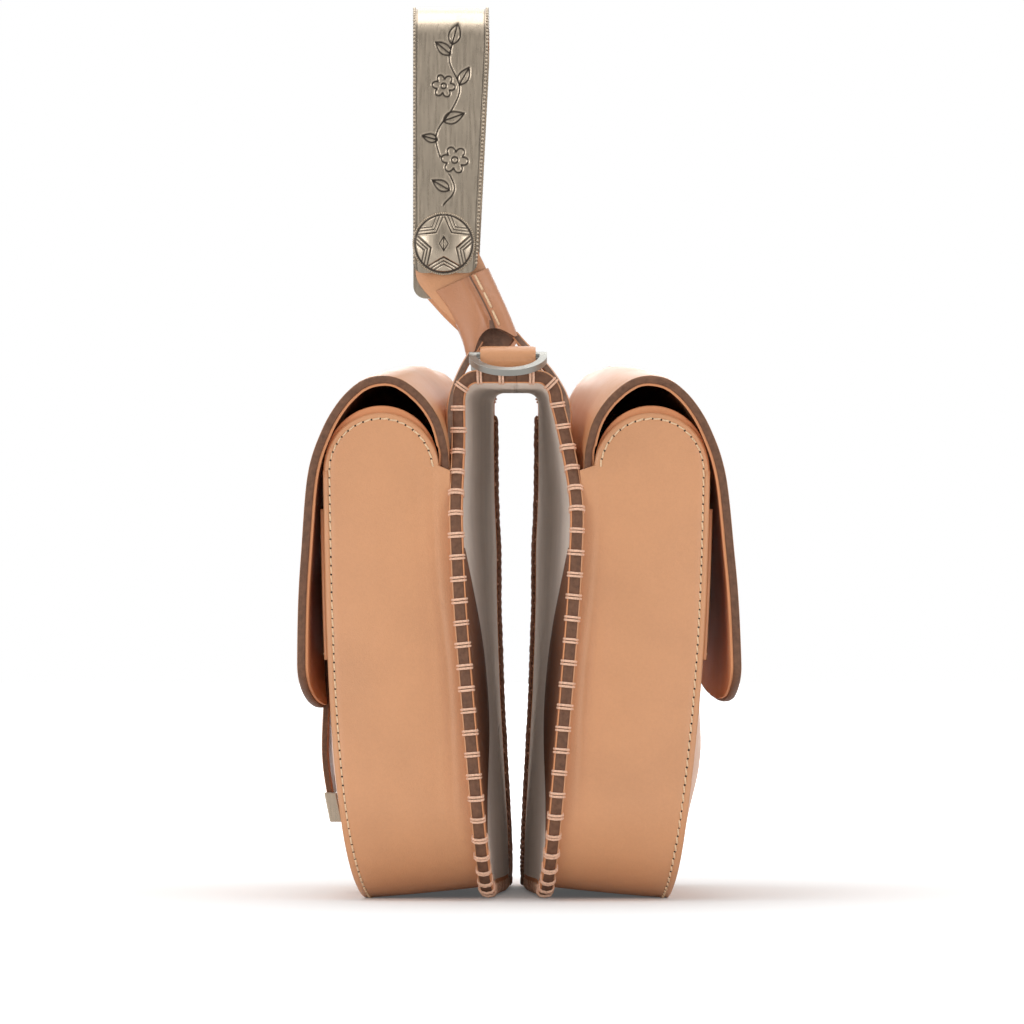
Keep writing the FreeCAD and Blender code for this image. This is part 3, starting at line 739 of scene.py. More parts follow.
class Repeats:
    """Geometry Nodes tree that lays one small shape on points that carry their own turn."""

    def __init__(self) -> None:
        """Builds the tree with its named inputs."""
        tree = bpy.data.node_groups.new("repeat_on_points", "GeometryNodeTree")
        face = tree.interface
        face.new_socket("Points", in_out="INPUT", socket_type="NodeSocketGeometry")
        self.sockets = {}
        for name, kind in (("Shape", "NodeSocketObject"), ("Finish", "NodeSocketMaterial"),
                           ("Size Jitter", "NodeSocketFloat"), ("Seed", "NodeSocketInt")):
            self.sockets[name] = face.new_socket(name, in_out="INPUT", socket_type=kind).identifier
        face.new_socket("Pieces", in_out="OUTPUT", socket_type="NodeSocketGeometry")
        given = add_node(tree, "NodeGroupInput").outputs
        shape = add_node(tree, "GeometryNodeObjectInfo", {"Object": given["Shape"]})
        turn = add_node(tree, "GeometryNodeInputNamedAttribute", {"Name": "turn"})
        turn.data_type = "FLOAT_VECTOR"
        euler = add_node(tree, "FunctionNodeEulerToRotation", {"Euler": turn.outputs["Attribute"]})
        sizes = []
        for operation in ("SUBTRACT", "ADD"):
            limit = add_node(tree, "ShaderNodeMath", {0: 1.0, 1: given["Size Jitter"]})
            limit.operation = operation
            sizes.append(limit.outputs[0])
        size = add_node(tree, "FunctionNodeRandomValue", {2: sizes[0], 3: sizes[1], "Seed": given["Seed"]})
        size.data_type = "FLOAT"
        lay = add_node(tree, "GeometryNodeInstanceOnPoints",
                       {"Points": given["Points"], "Instance": shape.outputs["Geometry"],
                        "Rotation": euler.outputs["Rotation"], "Scale": size.outputs[1]})
        real = add_node(tree, "GeometryNodeRealizeInstances", {"Geometry": lay.outputs["Instances"]})
        wear = add_node(tree, "GeometryNodeSetMaterial",
                        {"Geometry": real.outputs["Geometry"], "Material": given["Finish"]})
        add_node(tree, "NodeGroupOutput", {"Pieces": wear.outputs["Geometry"]})
        self.tree = tree

    def lay(self, name: str, path: Path, shape: Shape, finish: Finish,
            jitter: float = 0.04, seed: int = 1) -> Piece:
        """Lays a shape on every point of a path.

        Args:
            name: Name of the piece.
            path: Points; a shape's X runs along them, Y out and Z up.
            shape: Points in metres and faces of the shape.
            finish: Finish of the shapes.
            jitter: Share by which sizes differ.
            seed: Seed of the differences.

        Returns:
            One plain mesh of all the shapes.
        """
        template = new_piece(name + "_shape", shape[0], shape[1], finish)
        mesh = bpy.data.meshes.new(name + "_points")
        mesh.from_pydata(path.points.tolist(), [], [])
        out = unit(path.out - path.up * np.sum(path.out * path.up, axis=1, keepdims=True))
        ways = np.stack([np.cross(out, path.up), out, path.up], axis=2)
        turns = [list(Matrix(way.tolist()).to_euler("XYZ")) for way in ways]
        layer = mesh.attributes.new("turn", "FLOAT_VECTOR", "POINT")
        layer.data.foreach_set("vector", np.asarray(turns, np.float32).ravel())
        holder = stand(name + "_points", mesh)
        modifier = holder.modifiers.new("repeat", "NODES")
        modifier.node_group = self.tree
        modifier[self.sockets["Shape"]] = template
        modifier[self.sockets["Finish"]] = finish.material()
        modifier[self.sockets["Size Jitter"]] = jitter
        modifier[self.sockets["Seed"]] = seed
        bpy.context.view_layer.update()
        ready = holder.evaluated_get(bpy.context.evaluated_depsgraph_get())
        piece = stand(name, bpy.data.meshes.new_from_object(ready))
        piece.data.name = name
        for spent in (holder, template):
            data = spent.data
            bpy.data.objects.remove(spent)
            bpy.data.meshes.remove(data)
        piece.data.shade_smooth()
        return piece


def lacing_shape(leather: float, depth: float, radius: float, gap: float) -> Shape:
    """A pair of threads that wrap a cut edge from hole to hole.

    Args:
        leather: Half thickness of the edge, mm.
        depth: Distance from the edge to the holes, mm.
        radius: Thread radius, mm.
        gap: Distance between the two threads, mm.

    Returns:
        Points in metres and faces.
    """
    top = leather + radius * 0.7
    turns = [(-depth, leather - 0.6), (-depth + 0.5, top), (0.2, top + 0.1), (1.3, top * 0.72), (1.75, 0.0),
             (1.3, -top * 0.72), (0.2, -top - 0.1), (-depth + 0.5, -top), (-depth, -leather + 0.6)]
    lines = []
    for shift in (-gap / 2, gap / 2):
        lines.append(np.array([(shift, out, up) for out, up in turns]) * MM)
    return tube_mesh(lines, radius * MM, 6)


def stitch_shape(length: float, radius: float, slant: float = 0.0) -> Shape:
    """One sewing stitch that dips into the leather at both ends.

    Args:
        length: Length of the stitch, mm.
        radius: Thread radius, mm.
        slant: Sideways run of the stitch, mm.

    Returns:
        Points in metres and faces.
    """
    steps = [(-0.5, -0.6), (-0.4, 0.1), (-0.15, 0.45), (0.15, 0.45), (0.4, 0.1), (0.5, -0.6)]
    line = np.array([(share * length, share * slant, rise * radius) for share, rise in steps]) * MM
    points, faces = tube_mesh([line[:, [1, 0, 2]]], radius * MM, 5)
    return points[:, [1, 0, 2]], [tuple(reversed(f)) for f in faces]


def bead_shape(radius: float, squash: float = 0.7) -> Shape:
    """A small bead, flattened a little.

    Args:
        radius: Radius, mm.
        squash: Height as a share of the radius.

    Returns:
        Points in metres and faces.
    """
    rings, around = [], 8
    for tilt in (-60, -20, 20, 60):
        turn = np.linspace(0, 2 * math.pi, around, endpoint=False)
        flat = math.cos(math.radians(tilt)) * radius
        high = np.full(around, math.sin(math.radians(tilt)) * radius * squash)
        rings.append(as_rows(flat * np.cos(turn), flat * np.sin(turn), high))
    points = np.vstack(rings + [[[0, 0, -radius * squash]], [[0, 0, radius * squash]]]) * MM
    faces = grid_faces(len(rings), around, ring=True)
    foot = len(rings) * around
    top = foot - around
    faces += [(foot, (s + 1) % around, s) for s in range(around)]
    faces += [(foot + 1, top + s, top + (s + 1) % around) for s in range(around)]
    return points, faces


# The saddle


def edge_path(grid: np.ndarray, normals: np.ndarray, count: int) -> Path:
    """Path down one long side of a sheet, along its foot and up the other side.

    Args:
        grid: Middle surface by row and column.
        normals: Normals of the surface.
        count: Number of points.

    Returns:
        The path with its ways out of the sheet.
    """
    ring = np.vstack([grid[:, 0], grid[-1, 1:-1], grid[::-1, -1]])
    up = np.vstack([normals[:, 0], normals[-1, 1:-1], normals[::-1, -1]])
    out = unit(np.cross(unit(np.gradient(ring, axis=0)), up))
    middle = grid[np.minimum(np.arange(len(grid)), len(grid) - 14), grid.shape[1] // 2]
    inside = np.vstack([middle, np.repeat(middle[-1:], grid.shape[1] - 2, axis=0), middle[::-1]]) - ring
    out *= -np.sign(np.sum(out * inside, axis=1, keepdims=True))
    dense = even_line(np.hstack([ring, out * 1e-3, up * 1e-3]), count)
    return Path(dense[:, :3], unit(dense[:, 3:6]), unit(dense[:, 6:]))


def place_path(path: Path, half: Half) -> Path:
    """A path of the front half's frame carried to one side of the bag, in metres."""
    out, up = (unit(place(ways, half)) for ways in (path.out, path.up))
    return Path(place(path.points, half), out, up)


@dataclass
class SaddlePanel:
    """One side of the saddle: half the yoke's arch and its skirt, in leather backed with suede."""

    half: Half
    leather: float = 3.0
    suede: float = 2.0
    half_width: float = 100.0
    neck_half: float = 88.0
    neck_z: float = 188.0
    neck_run: float = 42.0
    foot_z: float = 2.3
    corner_radius: float = 45.0
    yoke_z: float = 206.5
    yoke_corner: float = 7.5
    yoke_curl: float = 2.2
    wall_x: float = -17.5
    hinge_z: float = 184.0
    bend_reach: float = 8.0
    lace_pitch: float = 8.8
    # Size and place of the thin brown sheet that paints the warm shade inside the skirt.
    warm_shade_width: float = 70.0
    warm_shade_z: float = 82.0
    warm_shade_half: float = 62.0
    wall_line: Line = (
        (-17.5, 197.0), (-17.4, 187.0), (-17.5, 176.0), (-17.7, 160.0), (-17.4, 147.0), (-16.0, 119.0),
        (-13.5, 87.0), (-11.1, 59.0), (-9.4, 39.0), (-8.2, 22.0), (-7.6, 9.0), (-7.45, 0.7))
    columns: int = 61
    pieces: list[Piece] = field(default_factory=list)

    def half_span(self, z: np.ndarray) -> np.ndarray:
        """Half width of the sheet at a height.

        Args:
            z: Heights, mm.

        Returns:
            Half widths, mm.
        """
        rise = np.clip((self.neck_z - z) / self.neck_run, 0.0, 1.0)
        wide = self.neck_half + (self.half_width - self.neck_half) * ease(rise)
        low = np.clip(self.corner_radius - (z - self.foot_z), 0.0, self.corner_radius)
        return wide - self.corner_radius + np.sqrt(self.corner_radius ** 2 - low ** 2)

    def wall_x_at(self, z: np.ndarray) -> np.ndarray:
        """X of the sheet's middle surface at a height."""
        line = smooth_line(self.wall_line, 200)[::-1]
        return np.interp(z, line[:, 1], line[:, 0])

    def settle(self, y: np.ndarray, z: np.ndarray) -> np.ndarray:
        """How far use has pushed the sheet from its plane: far foot outwards, rear shoulder inwards.

        Args:
            y: Places along the bag, mm.
            z: Heights, mm.

        Returns:
            Shifts in X, mm.
        """
        foot = -np.interp(z, (0.0, 40.0, 79.0, 119.0, 138.0),
                          (4.2, 3.9, 2.7, 0.9, 0.0)) * np.clip(y / 95.0, 0.0, 1.1)
        if self.half is Half.FRONT:
            return foot
        lean = np.clip((z - 150.0) / 49.0, 0.0, 1.0) ** 2.0
        return foot + 7.4 * lean * np.clip(0.5 - y / 176.0, 0.0, 1.0)

    def curl(self, y: np.ndarray) -> np.ndarray:
        """How far the yoke's ends turn up, by the place along the yoke."""
        return self.yoke_curl * np.clip((np.abs(y) - 76.0) / 12.0, 0.0, 1.0) ** 1.5

    def middle(self) -> np.ndarray:
        """Grid of the sheet's middle surface, from the arch's crest to the foot, in mm.

        Returns:
            Points by row and column.
        """
        share = np.linspace(-1.0, 1.0, self.columns)
        rows = []
        for step in np.linspace(0.0, 1.0, 6, endpoint=False):
            y = self.neck_half * share
            crest = -y * math.tan(SPLAY)
            side = self.wall_x + self.yoke_corner + self.settle(y, np.full_like(y, self.yoke_z))
            x = crest + (side - crest) * step
            rows.append(as_rows(x, y, self.yoke_z + self.curl(y)))
        for turn in np.linspace(0.0, math.pi / 2, 9, endpoint=False):
            x = self.wall_x + self.yoke_corner - self.yoke_corner * math.sin(turn)
            z = self.yoke_z - self.yoke_corner + self.yoke_corner * math.cos(turn)
            y = self.neck_half * share
            side = x + self.settle(y, np.full_like(y, z))
            rows.append(as_rows(side, y, z + self.curl(y) * math.cos(turn)))
        bend_z, corner_z = self.yoke_z - self.yoke_corner, self.corner_radius + self.foot_z
        heights = list(np.linspace(bend_z, corner_z, 44, endpoint=False))
        heights += [self.foot_z + self.corner_radius * (1 - math.sin(turn))
                    for turn in np.linspace(0, math.pi / 2, 26)]
        for z in heights:
            y = float(self.half_span(np.array(z))) * share
            x = np.full_like(y, float(self.wall_x_at(np.array(z))))
            x += self.settle(y, np.full_like(y, z))
            x += 1.3 * np.sin(y / 31.0 + z / 47.0) * np.clip((170.0 - z) / 60.0, 0.0, 1.0) * (1 - share ** 2)
            rows.append(as_rows(x, y, np.full_like(y, z)))
        return np.stack(rows)

    def build(self, repeats: Repeats) -> None:
        """Builds leather, suede, painted edge, inner border and lacing.

        Args:
            repeats: Tree that lays the lacing.
        """
        grid = self.middle()
        normals = row_normals(grid, (-1.0, 0.0, 0.0), 40)
        half_wall = (self.leather + self.suede) / 2
        seam = self.suede - half_wall
        name = self.half.prefix
        outer = place(grid + normals * half_wall, self.half)
        between = place(grid + normals * seam, self.half)
        inner = place(grid - normals * half_wall, self.half)
        sheet = slab(name + "saddle_leather", outer, between, TAN)
        backing = slab(name + "saddle_suede", between, inner, SUEDE)
        # A thin brown sheet that paints the warm shade inside the skirt along its near laced edge.
        facing = self.facing(grid, normals)
        placed = place_path(edge_path(grid, normals, 420), self.half)
        band = sweep(name + "saddle_edge", placed,
                     [(-0.4, -2.1), (0.4, -2.1), (0.85, -1.6), (1.05, 0.0),
                      (0.85, 1.6), (0.4, 2.1), (-0.4, 2.1), (-0.5, 0.0)], EDGE)
        lip = sweep(name + "saddle_lip", placed,
                    [(-3.0, half_wall - 0.5), (0.25, half_wall - 0.6), (0.5, half_wall - 0.2),
                     (0.4, half_wall + 0.08), (0.0, half_wall + 0.15), (-3.0, half_wall + 0.05)], TAN)
        border = sweep(name + "saddle_border", placed,
                       [(-4.4, -half_wall - 0.1), (-3.0, -half_wall - 0.15), (0.0, -half_wall - 0.15),
                        (0.4, -half_wall - 0.08), (0.5, -half_wall + 0.2), (0.25, -half_wall + 0.6),
                        (-4.6, -half_wall + 0.2)], TAN_INNER)
        lace = repeats.lay(name + "saddle_lacing", placed.spaced(self.lace_pitch * MM, 6.0 * MM),
                           lacing_shape(half_wall - 0.2, 3.2, 0.54, 1.25), LACE, 0.05, 7)
        # The lacing inside the far edge wears the dark copy of the thread, which paints the shade there.
        far = (placed.points[:, 1] > 0.03) & (placed.points[:, 2] < 0.199)
        at = placed.points[far] - placed.out[far] * 1.3 * MM - placed.up[far] * (half_wall + 0.5) * MM
        inside = repeats.lay(name + "saddle_lacing_inside",
                             Path(at, placed.out[far], -placed.up[far]).spaced(3.3 * MM, 6.0 * MM),
                             stitch_shape(5.4, 1.0, 3.0), LACE_IN_SHADE, 0.08, 8)
        self.pieces = [sheet, backing, band, border, lace, lip, inside, facing]

    def facing(self, grid: np.ndarray, normals: np.ndarray) -> Piece:
        """Thin brown sheet inside the skirt, a lens along the near laced edge, that paints the warm shade
        there.

        Args:
            grid: Middle surface of the sheet, mm.
            normals: Outward directions of that surface.

        Returns:
            The facing.
        """
        share = np.linspace(-1.0, 1.0, self.columns)
        rows, ways = [], []
        for points, out in zip(grid, normals):
            low = 1.0 - ((points[0, 2] - self.warm_shade_z) / self.warm_shade_half) ** 2
            if low < 0.01:
                continue
            wide = self.warm_shade_width * low / float(self.half_span(points[0, 2]))
            at = np.linspace(-0.995, wide - 0.995, 12)
            rows.append(read_along(at, share, points))
            ways.append(read_along(at, share, out))
        middle, way = np.stack(rows), np.stack(ways)
        wall = (self.leather + self.suede) / 2
        return slab(self.half.prefix + "skirt_facing", place(middle - way * (wall - 0.1), self.half),
                    place(middle - way * (wall + 0.2), self.half), WARM_SHADE)

    def dress(self) -> None:
        """Bakes the pieces' placing into their meshes and hides the imported parts that they stand for."""
        start, end = place(np.array([[self.wall_x, 0.0, self.hinge_z + self.bend_reach],
                                     [self.wall_x, 0.0, self.hinge_z - self.bend_reach]]), self.half)
        for piece in self.pieces:
            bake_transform(piece)
        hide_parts("saddle_yoke", self.half.prefix + "skirt")
        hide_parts("yoke_lining", self.half.prefix + "skirt_lining")


def rounded_copy(node: str, finish: Finish, bevel: float) -> Piece:
    """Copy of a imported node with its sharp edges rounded.

    Args:
        node: Name of the node.
        finish: Finish of the copy.
        bevel: Width of the rounding, mm.

    Returns:
        The copy, which stands for the node and rides with its body.
    """
    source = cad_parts[node]
    mesh = source.data.copy()
    mesh.name = node + "_dressed"
    work = bmesh.new()
    work.from_mesh(mesh)
    bmesh.ops.remove_doubles(work, verts=work.verts, dist=1e-6)
    bmesh.ops.dissolve_limit(work, angle_limit=math.radians(1.0), verts=work.verts, edges=work.edges)
    work.to_mesh(mesh)
    work.free()
    mesh.materials.clear()
    mesh.materials.append(finish.material())
    piece = stand(node + "_dressed", mesh)
    if bevel > 0:
        rounding = piece.modifiers.new("rounding", "BEVEL")
        rounding.width = bevel * MM
        rounding.segments = 3
        rounding.limit_method = "ANGLE"
        rounding.angle_limit = math.radians(35)
        rounding.harden_normals = True
    mesh.shade_smooth()
    mesh.set_sharp_from_angle(angle=math.radians(40))
    if bevel > 0:
        bake(piece)
    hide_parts(node)
    return piece


def bake(piece: Piece) -> None:
    """Turns a piece's modifiers into plain mesh.

    Args:
        piece: Piece to bake.
    """
    bpy.context.view_layer.update()
    ready = piece.evaluated_get(bpy.context.evaluated_depsgraph_get())
    old = piece.data
    mesh = bpy.data.meshes.new_from_object(ready)
    piece.modifiers.clear()
    piece.data = mesh
    mesh.name = old.name
    bpy.data.meshes.remove(old)


# The pouches


@dataclass
class Pouch:
    """One pouch: gusset with round-topped ends, bulged front panel, facing, lining and zip."""

    half: Half
    back: SaddlePanel
    half_width: float = 95.0
    corner_radius: float = 40.0
    wall: float = 2.0
    foot_x: float = -57.0
    arch_x: float = -47.7
    arch_z: float = 171.3
    arch_radius: float = 23.0
    seam_inset: float = 2.4
    stitch_pitch: float = 3.5
    facing_low: float = 96.0
    facing_high: float = 156.0
    facing_wall: float = 1.5
    tooth_pitch: float = 3.0
    foot_draw: float = 4.4
    rim_rise: dict[End, float] = field(default_factory=lambda: {End.NEAR: 3.1, End.FAR: 2.2})
    columns: int = 45
    pieces: list[tuple[Piece, Finish]] = field(default_factory=list)

    def front_x(self, z: float) -> float:
        """X of the panel's bowed line at a height; the front pouch is fuller low down.

        Args:
            z: Height, mm.

        Returns:
            X, mm.
        """
        share = min(z, self.arch_z) / self.arch_z
        bow, skew = (4.8, 0.7) if self.half is Half.FRONT else (3.2, 1.0)
        slant = (self.arch_radius - self.arch_x + self.foot_x) * share
        return self.foot_x - slant - bow * math.sin(math.pi * share ** skew)

    def belly(self, z: float) -> float:
        """How far the panel's middle stands out past its sides at a height, mm."""
        full = 5.6 if self.half is Half.FRONT else 8.4
        return (0.4 + full * hump(z, 54.0, 30.0)) * min(1.0, z / 12.0)

    def back_x(self, z: float, y: float) -> float:
        """X of the gusset's back edge at a height and a place along the bag."""
        return float(self.back.wall_x_at(np.array(z)) + self.back.settle(np.array(y), np.array(z))) - 2.65

    def ear_x(self, z: float) -> float:
        """X of the small ear by which the gusset runs up beside the skirt's edge."""
        share = clamp((z - self.arch_z) / 4.5)
        return self.back_x(self.arch_z, -self.half_width) - (self.arch_radius + 6.0) * share ** 1.6

    def rows(self) -> list[tuple[float, float, float, float, float, float]]:
        """Rows round the pouch from the near crest to the far one: y, z, way out, back x, front x.

        Returns:
            One row of six numbers for each place.
        """
        made = []
        for turn in np.linspace(math.pi / 2, 0.0, 18, endpoint=False):
            z = self.arch_z + self.arch_radius * math.sin(turn)
            reach = self.arch_radius * math.cos(turn)
            made.append((-self.half_width, z, -1.0, 0.0, max(self.arch_x + reach, self.ear_x(z)),
                         self.arch_x - reach))
        for z in np.linspace(self.arch_z, self.corner_radius, 44, endpoint=False):
            made.append((-self.half_width, z, -1.0, 0.0, self.back_x(z, -self.half_width), self.front_x(z)))
        for turn in np.linspace(0.0, math.pi / 2, 16, endpoint=False):
            y = -self.half_width + self.corner_radius * (1 - math.cos(turn))
            z = self.corner_radius * (1 - math.sin(turn))
            made.append((y, z, -math.cos(turn), -math.sin(turn), self.back_x(z, y), self.front_x(z)))
        for y in np.linspace(self.corner_radius - self.half_width, 0.0, 8, endpoint=False):
            made.append((y, 0.0, 0.0, -1.0, self.back_x(0.0, y), self.front_x(0.0)))
        far = []
        for y, z, ny, nz, back, front in reversed(made):
            rear = back if z >= self.arch_z else self.back_x(z, -y)
            far.append((-y, z, -ny, nz, rear, front))
        return made + [(0.0, 0.0, 0.0, -1.0, self.back_x(0.0, 0.0), self.front_x(0.0))] + far

    def swell(self, x: float, z: float, front: float, back: float) -> float:
        """How far the gusset's wall stands out from flat, mm.

        Args:
            x: X of the point, mm.
            z: Height of the point.
            front: X of the row's front edge.
            back: X of the row's back edge.

        Returns:
            Distance out, mm.
        """
        share = clamp((x - back) / min(front - back, -1e-6))
        upright = math.sin(math.pi * clamp((z - 4.0) / 186.0))
        if z > self.arch_z:
            rim = max(0.0, self.arch_radius - math.hypot(x - self.arch_x, z - self.arch_z))
        else:
            rim = x - front
        out = 1.5 * math.sin(math.pi * share) * upright
        out -= 0.75 * upright * hump(share - 0.02 * math.sin(z / 19.0), 0.12, 0.035)
        out -= 0.45 * upright * hump(share - 0.03 * math.sin(z / 27.0 + 1.0), 0.23, 0.05)
        out -= 0.28 * hump(rim, self.seam_inset, 0.8)
        out -= 0.7 * max(0.0, 1.0 - rim / 1.3) ** 2
        return out

    def shell(self) -> tuple[np.ndarray, np.ndarray]:
        """Outer and inner grids of the gusset, mm.

        Returns:
            Points of both faces by row and column.
        """
        shares = (1 - np.cos(np.linspace(0, math.pi, self.columns))) / 2
        outer, inner = [], []
        for y, z, ny, nz, back, front in self.rows():
            xs = back + (front - back) * shares
            out = np.array([self.swell(x, z, front, back) for x in xs]) * abs(ny)
            drawn = self.foot_draw * max(0.0, 1 - z / self.corner_radius) * (1 - shares) ** 1.2
            outer.append(as_rows(xs, y + out * ny, z + out * nz + drawn))
            inner.append(as_rows(xs, np.full_like(xs, y - self.wall * ny), z - self.wall * nz + drawn))
        return np.stack(outer), np.stack(inner)

    def seam(self) -> Path:
        """Stitch line round the pouch, a little inside its front edge.

        Returns:
            The line, up from the leather.
        """
        points, up, out = [], [], []
        rows = self.rows()
        straight = [row for row in rows if row[1] <= self.arch_z]
        radius = self.arch_radius - self.seam_inset
        for turn in np.linspace(math.radians(8), math.pi, 40, endpoint=False):
            x = self.arch_x + radius * math.cos(turn)
            z = self.arch_z + radius * math.sin(turn)
            half_chord = math.sqrt(self.arch_radius ** 2 - (z - self.arch_z) ** 2)
            rise = self.swell(x, z, self.arch_x - half_chord, self.arch_x + half_chord)
            points.append((x, -self.half_width - rise, z))
            up.append((0.0, -1.0, 0.0))
            out.append((math.cos(turn), 0.0, math.sin(turn)))
        for y, z, ny, nz, back, front in straight:
            rise = self.swell(front + self.seam_inset, z, front, back) * abs(ny)
            points.append((front + self.seam_inset, y + rise * ny, z + rise * nz))
            up.append((0.0, ny, nz))
            out.append((-1.0, 0.0, 0.0))
        for x, y, z in reversed(points[:40]):
            points.append((x, -y, z))
            up.append((0.0, 1.0, 0.0))
        out += list(reversed(out[:40]))
        dense = even_line(np.hstack([points, np.array(out) * 1e-3, np.array(up) * 1e-3]), 900)
        return Path(dense[:, :3], unit(dense[:, 3:6]), unit(dense[:, 6:]))

    def panel_grid(self, low: float, high: float, margin: float,
                   lift: float) -> tuple[np.ndarray, np.ndarray]:
        """Middle points and normals of the bulged front between two heights.

        Args:
            low: Lowest height, mm.
            high: Highest height, mm.
            margin: Distance in from the pouch's sides, mm.
            lift: Distance out from the panel's face, mm.

        Returns:
            Points and normals by row and column.
        """
        radius = self.corner_radius - margin
        heights = [z for z in np.linspace(high, max(low, self.corner_radius), 34)]
        if low < self.corner_radius:
            heights = heights[:-1] + [low + radius * (1 - math.sin(turn))
                                      for turn in np.linspace(0, math.pi / 2, 18)]
        shares = np.sin(np.linspace(-math.pi / 2, math.pi / 2, 49))
        rows = []
        for z in heights:
            down = min(radius, max(0.0, radius - (z - low))) if low < self.corner_radius else 0.0
            span = self.half_width - margin - radius + math.sqrt(radius ** 2 - down ** 2)
            y = span * shares
            swell = self.belly(z) * (1 - (y / self.half_width) ** 2)
            swell += 0.3 * np.sin(y / 23.0 + z / 31.0) * (1 - (y / self.half_width) ** 2)
            x = self.front_x(z) - swell - lift
            rows.append(as_rows(x, y, np.full_like(y, z)))
        grid = np.stack(rows)
        normals = grid_normals(grid)
        return grid, normals * np.sign(-normals[len(rows) // 2, 24, 0])

    def build(self, repeats: Repeats) -> None:
        """Builds gusset, panel, facing, seam stitches and the zip.

        Args:
            repeats: Tree that lays stitches and teeth.
        """
        name = self.half.prefix
        outer, inner = self.shell()
        gusset = slab(name + "gusset_leather", place(outer, self.half), place(inner, self.half), TAN)
        sharpen(gusset, 50)
        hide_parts(name + "gusset")
        path = place_path(self.seam(), self.half)
        spaced = path.spaced(self.stitch_pitch * MM)
        stitches = repeats.lay(name + "gusset_stitches", spaced, stitch_shape(2.7, 0.42, 0.35),
                               STITCH, 0.08, 3)
        # Black beads between the stitches paint the shade in the needle holes.
        middle = Path((spaced.points[1:] + spaced.points[:-1]) / 2, unit(spaced.out[1:] + spaced.out[:-1]),
                      unit(spaced.up[1:] + spaced.up[:-1]))
        holes = repeats.lay(name + "gusset_needle_holes", middle, bead_shape(0.5, 0.35), HOLE_SHADE, 0.1, 5)
        face, normals = self.panel_grid(0.3, self.arch_z, 0.0, 0.15)
        panel = slab(name + "panel_leather", place(face, self.half),
                     place(face - normals * self.wall, self.half), TAN)
        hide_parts(name + "panel")
        front, ways = self.panel_grid(self.facing_low, self.facing_high, 4.0, 0.2)
        facing = slab(name + "facing_leather", place(front + ways * self.facing_wall, self.half),
                      place(front, self.half), TAN)
        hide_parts(name + "panel_facing")
        hem = front[-1] + ways[-1] * self.facing_wall
        hem_path = Path(hem + np.array([0.0, 0.0, self.seam_inset]), np.tile([0.0, 0.0, -1.0], (len(hem), 1)),
                        ways[-1])
        hem_stitches = repeats.lay(name + "facing_stitches",
                                   place_path(hem_path, self.half).spaced(self.stitch_pitch * MM, 0.002),
                                   stitch_shape(2.6, 0.42), STITCH, 0.08, 11)
        self.pieces = [(gusset, TAN), (stitches, STITCH), (holes, HOLE_SHADE), (panel, TAN), (facing, TAN),
                       (hem_stitches, STITCH)]
        self.pieces += [(self.rim(end), TAN_INNER) for end in End]
        lining = rounded_copy(name + "pouch_lining", BLACK, 0.0)
        points = np.array([v.co[:] for v in lining.data.vertices])
        drawn = np.clip(1 - points[:, 2] / (self.corner_radius * MM), 0.0, 1.0)
        points[:, 2] += (self.foot_draw + 0.6) * MM * drawn
        lining.data.vertices.foreach_set("co", points.astype(np.float32).ravel())
        self.pieces.append((lining, BLACK))
        self.pieces.append((rounded_copy(name + "zip_tapes", BLACK, 0.2), BLACK))
        self.pieces.append((rounded_copy(name + "snap_socket", ZIP_METAL, 0.4), ZIP_METAL))
        self.pieces.append((self.teeth(repeats), ZIP_METAL))

    def rim(self, end: End) -> Piece:
        """Crescent of facing leather that stands up inside the gusset's round end.

        Args:
            end: End of the bag.

        Returns:
            The crescent.
        """
        layers = []
        for depth in (self.wall + 0.05, self.wall + 1.25):
            rows = []
            for turn in np.linspace(math.radians(4), math.radians(176), 60):
                high = self.arch_radius + self.rim_rise[end] * math.sin(turn) ** 1.5 - 0.3
                for reach in (self.arch_radius - 5.0, self.arch_radius - 2.0, high - 0.6, high):
                    lean = 0.25 if reach == high else 0.0
                    y = end.value * (self.half_width - depth - (lean if depth < self.wall + 1.0 else -lean))
                    rows.append((self.arch_x + reach * math.cos(turn), y,
                                 self.arch_z + reach * math.sin(turn)))
            layers.append(np.array(rows).reshape(60, 4, 3))
        piece = slab(self.half.prefix + "gusset_rim" + end.suffix, place(layers[0], self.half),
                     place(layers[1], self.half), TAN_INNER)
        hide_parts(self.half.prefix + "gusset_rims")
        return piece

    def teeth(self, repeats: Repeats) -> Piece:
        """Both rows of zip teeth along the mouth.

        Args:
            repeats: Tree that lays the teeth.

        Returns:
            The teeth as one piece.
        """
        low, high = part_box(self.half.prefix + "zip_teeth")
        z = (low[2] + high[2]) / 2 / MM
        points = []
        for side in (-5.1, 5.1):
            for y in np.arange(-89.5, 90.0, self.tooth_pitch):
                points.append((self.arch_x + side, y + (0.75 if side > 0 else -0.75), z))
        count = len(points)
        path = Path(np.array(points), np.tile([1.0, 0.0, 0.0], (count, 1)),
                    np.tile([0.0, 0.0, 1.0], (count, 1)))
        corners = ((-0.75, -1.05), (0.75, -1.05), (0.75, 1.05), (-0.75, 1.05))
        shape = np.array([(x, y, z) for z in (-0.9, 0.9) for x, y in corners])
        shape[4:, :2] *= 0.75
        faces = [(0, 3, 2, 1), (4, 5, 6, 7), (0, 1, 5, 4), (1, 2, 6, 5), (2, 3, 7, 6), (3, 0, 4, 7)]
        row = repeats.lay(self.half.prefix + "zip_teeth_rows", place_path(path, self.half),
                          (shape * MM, faces), ZIP_METAL, 0.0, 2)
        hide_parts(self.half.prefix + "zip_teeth")
        return row

    def dress(self) -> None:
        """Hangs every piece on the pouch's body, and the slider on its own."""
        for piece, finish in self.pieces:
            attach(piece, self.half.pouch)
        slider = rounded_copy(self.half.prefix + "zip_slider", ZIP_METAL, 0.45)
        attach(slider, self.half.prefix + "zip_slider")


